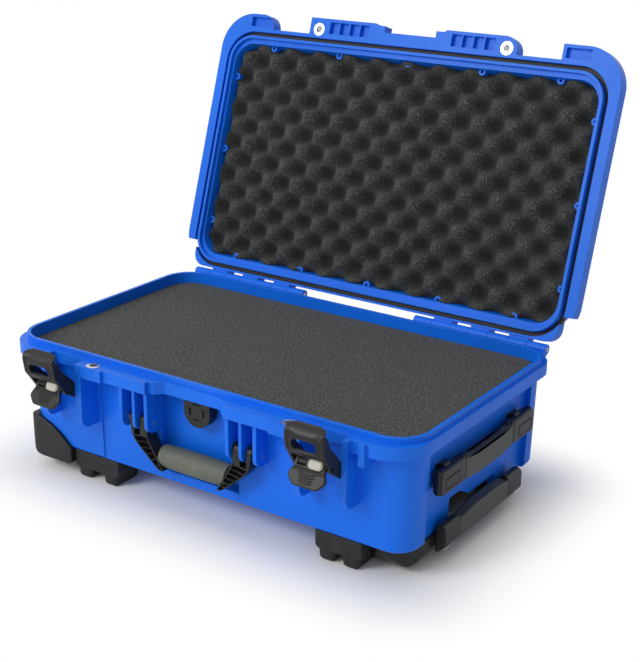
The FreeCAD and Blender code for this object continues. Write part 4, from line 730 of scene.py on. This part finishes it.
for chunk in CHUNKS:
    soften(chunk, 1.0 * MM, 16)


# Floor, light and camera
WHITE = (1.0, 1.0, 1.0, 1.0)
FOOTPRINT_HALVES = (0.25, 0.14, 0.0)
SHADOW_REACH = 0.13


def ground():
    """A pale floor that fades to white for the camera a little way from the case."""
    mesh = bmesh.new()
    bmesh.ops.create_grid(mesh, x_segments=2, y_segments=2, size=30.0)
    data = bpy.data.meshes.new("floor")
    mesh.to_mesh(data)
    mesh.free()
    floor = bpy.data.objects.new("floor", data)
    bpy.context.scene.collection.objects.link(floor)
    finish = Finish("pale_floor", Specular_IOR_Level=0.2)
    tone = finish.blend(finish.noise(3.0, 3.0), (0.92, 0.92, 0.92, 1.0), (0.95, 0.95, 0.95, 1.0))
    finish.set(Base_Color=tone, Roughness=0.85 + 0.05 * finish.noise(30.0))
    folded = finish.node("ShaderNodeVectorMath", {"operation": "ABSOLUTE"}, {0: finish.place})
    beyond = finish.node("ShaderNodeVectorMath", {"operation": "SUBTRACT"},
                         {0: folded, 1: FOOTPRINT_HALVES})
    outside = finish.node("ShaderNodeVectorMath", {"operation": "MAXIMUM"}, {0: beyond, 1: (0, 0, 0)})
    away = finish.node("ShaderNodeVectorMath", {"operation": "LENGTH"}, {0: outside}, out="Value")
    seen = finish.node("ShaderNodeLightPath", out="Is Camera Ray")
    white = finish.node("ShaderNodeEmission", {}, {"Color": WHITE, "Strength": 1.0})
    share = finish.between(away, 0.0, SHADOW_REACH) * seen
    finish.feed(finish.output.inputs[0],
                finish.node("ShaderNodeMixShader", {}, {0: share, 1: finish.shader, 2: white}))
    wear(floor, finish.material)


def backdrop():
    """White to look at, and a soft light that is dimmer from the pull handle's end."""
    world = bpy.data.worlds.new("studio")
    bpy.context.scene.world = world
    graph = Graph(world)
    white, bright, dim = (graph.node("ShaderNodeBackground", {}, {"Color": WHITE, "Strength": strength})
                          for strength in (1.0, 0.74, 0.30))
    heading = graph.node("ShaderNodeTexCoord", out="Generated")
    sideways = graph.node("ShaderNodeVectorMath", {"operation": "DOT_PRODUCT"},
                          {0: heading, 1: (1, 0, 0)}, out="Value")
    turn = graph.between(sideways, 0.0, 0.9)
    glow = graph.node("ShaderNodeMixShader", {}, {0: turn, 1: bright, 2: dim})
    rays = [graph.node("ShaderNodeLightPath", out=kind)
            for kind in ("Is Camera Ray", "Is Glossy Ray", "Is Transmission Ray")]
    seen = rays[0] + rays[1] + rays[2]
    shown = graph.node("ShaderNodeMixShader", {}, {0: seen, 1: glow, 2: white})
    graph.node("ShaderNodeOutputWorld", {}, {"Surface": shown})


def lamp(name, place, target, size, power):
    data = bpy.data.lights.new(name, "AREA")
    data.shape = "DISK"
    data.size = size
    data.energy = power
    obj = bpy.data.objects.new(name, data)
    obj.location = place
    obj.rotation_euler = (Vector(target) - Vector(place)).to_track_quat("-Z", "Y").to_euler()
    bpy.context.scene.collection.objects.link(obj)


def camera():
    """Stands where the photograph was taken from; the focal length and height are in pixels."""
    focal, height, sensor = 1362.56, 662, 36.0
    turn, lift, roll = math.radians(34.0), math.radians(19.853), math.radians(0.692)
    right = Vector((math.cos(turn), math.sin(turn), 0))
    back = Vector((math.sin(turn) * math.cos(lift), -math.cos(turn) * math.cos(lift), math.sin(lift)))
    up = back.cross(right)
    across = math.cos(roll) * right + math.sin(roll) * up
    over = -math.sin(roll) * right + math.cos(roll) * up
    data = bpy.data.cameras.new("camera")
    data.sensor_fit = "AUTO"
    data.sensor_width = sensor
    data.lens = focal / height * sensor
    obj = bpy.data.objects.new("camera", data)
    pose = Matrix((across, over, back)).transposed().to_4x4()
    pose.translation = Vector((851.7, -1181.0, 701.2)) * MM
    obj.matrix_world = pose
    bpy.context.scene.collection.objects.link(obj)
    bpy.context.scene.camera = obj


ground()
backdrop()
lamp("key", (-1.0, -2.2, 1.7), (0, 0, 0.12), 1.2, 32)
lamp("top", (0.0, 0.1, 2.6), (0, 0.05, 0.1), 2.0, 4)
lamp("fill", (2.2, -0.9, 1.2), (0.1, 0, 0.15), 1.6, 1)
camera()
bpy.context.scene.view_settings.view_transform = "Standard"
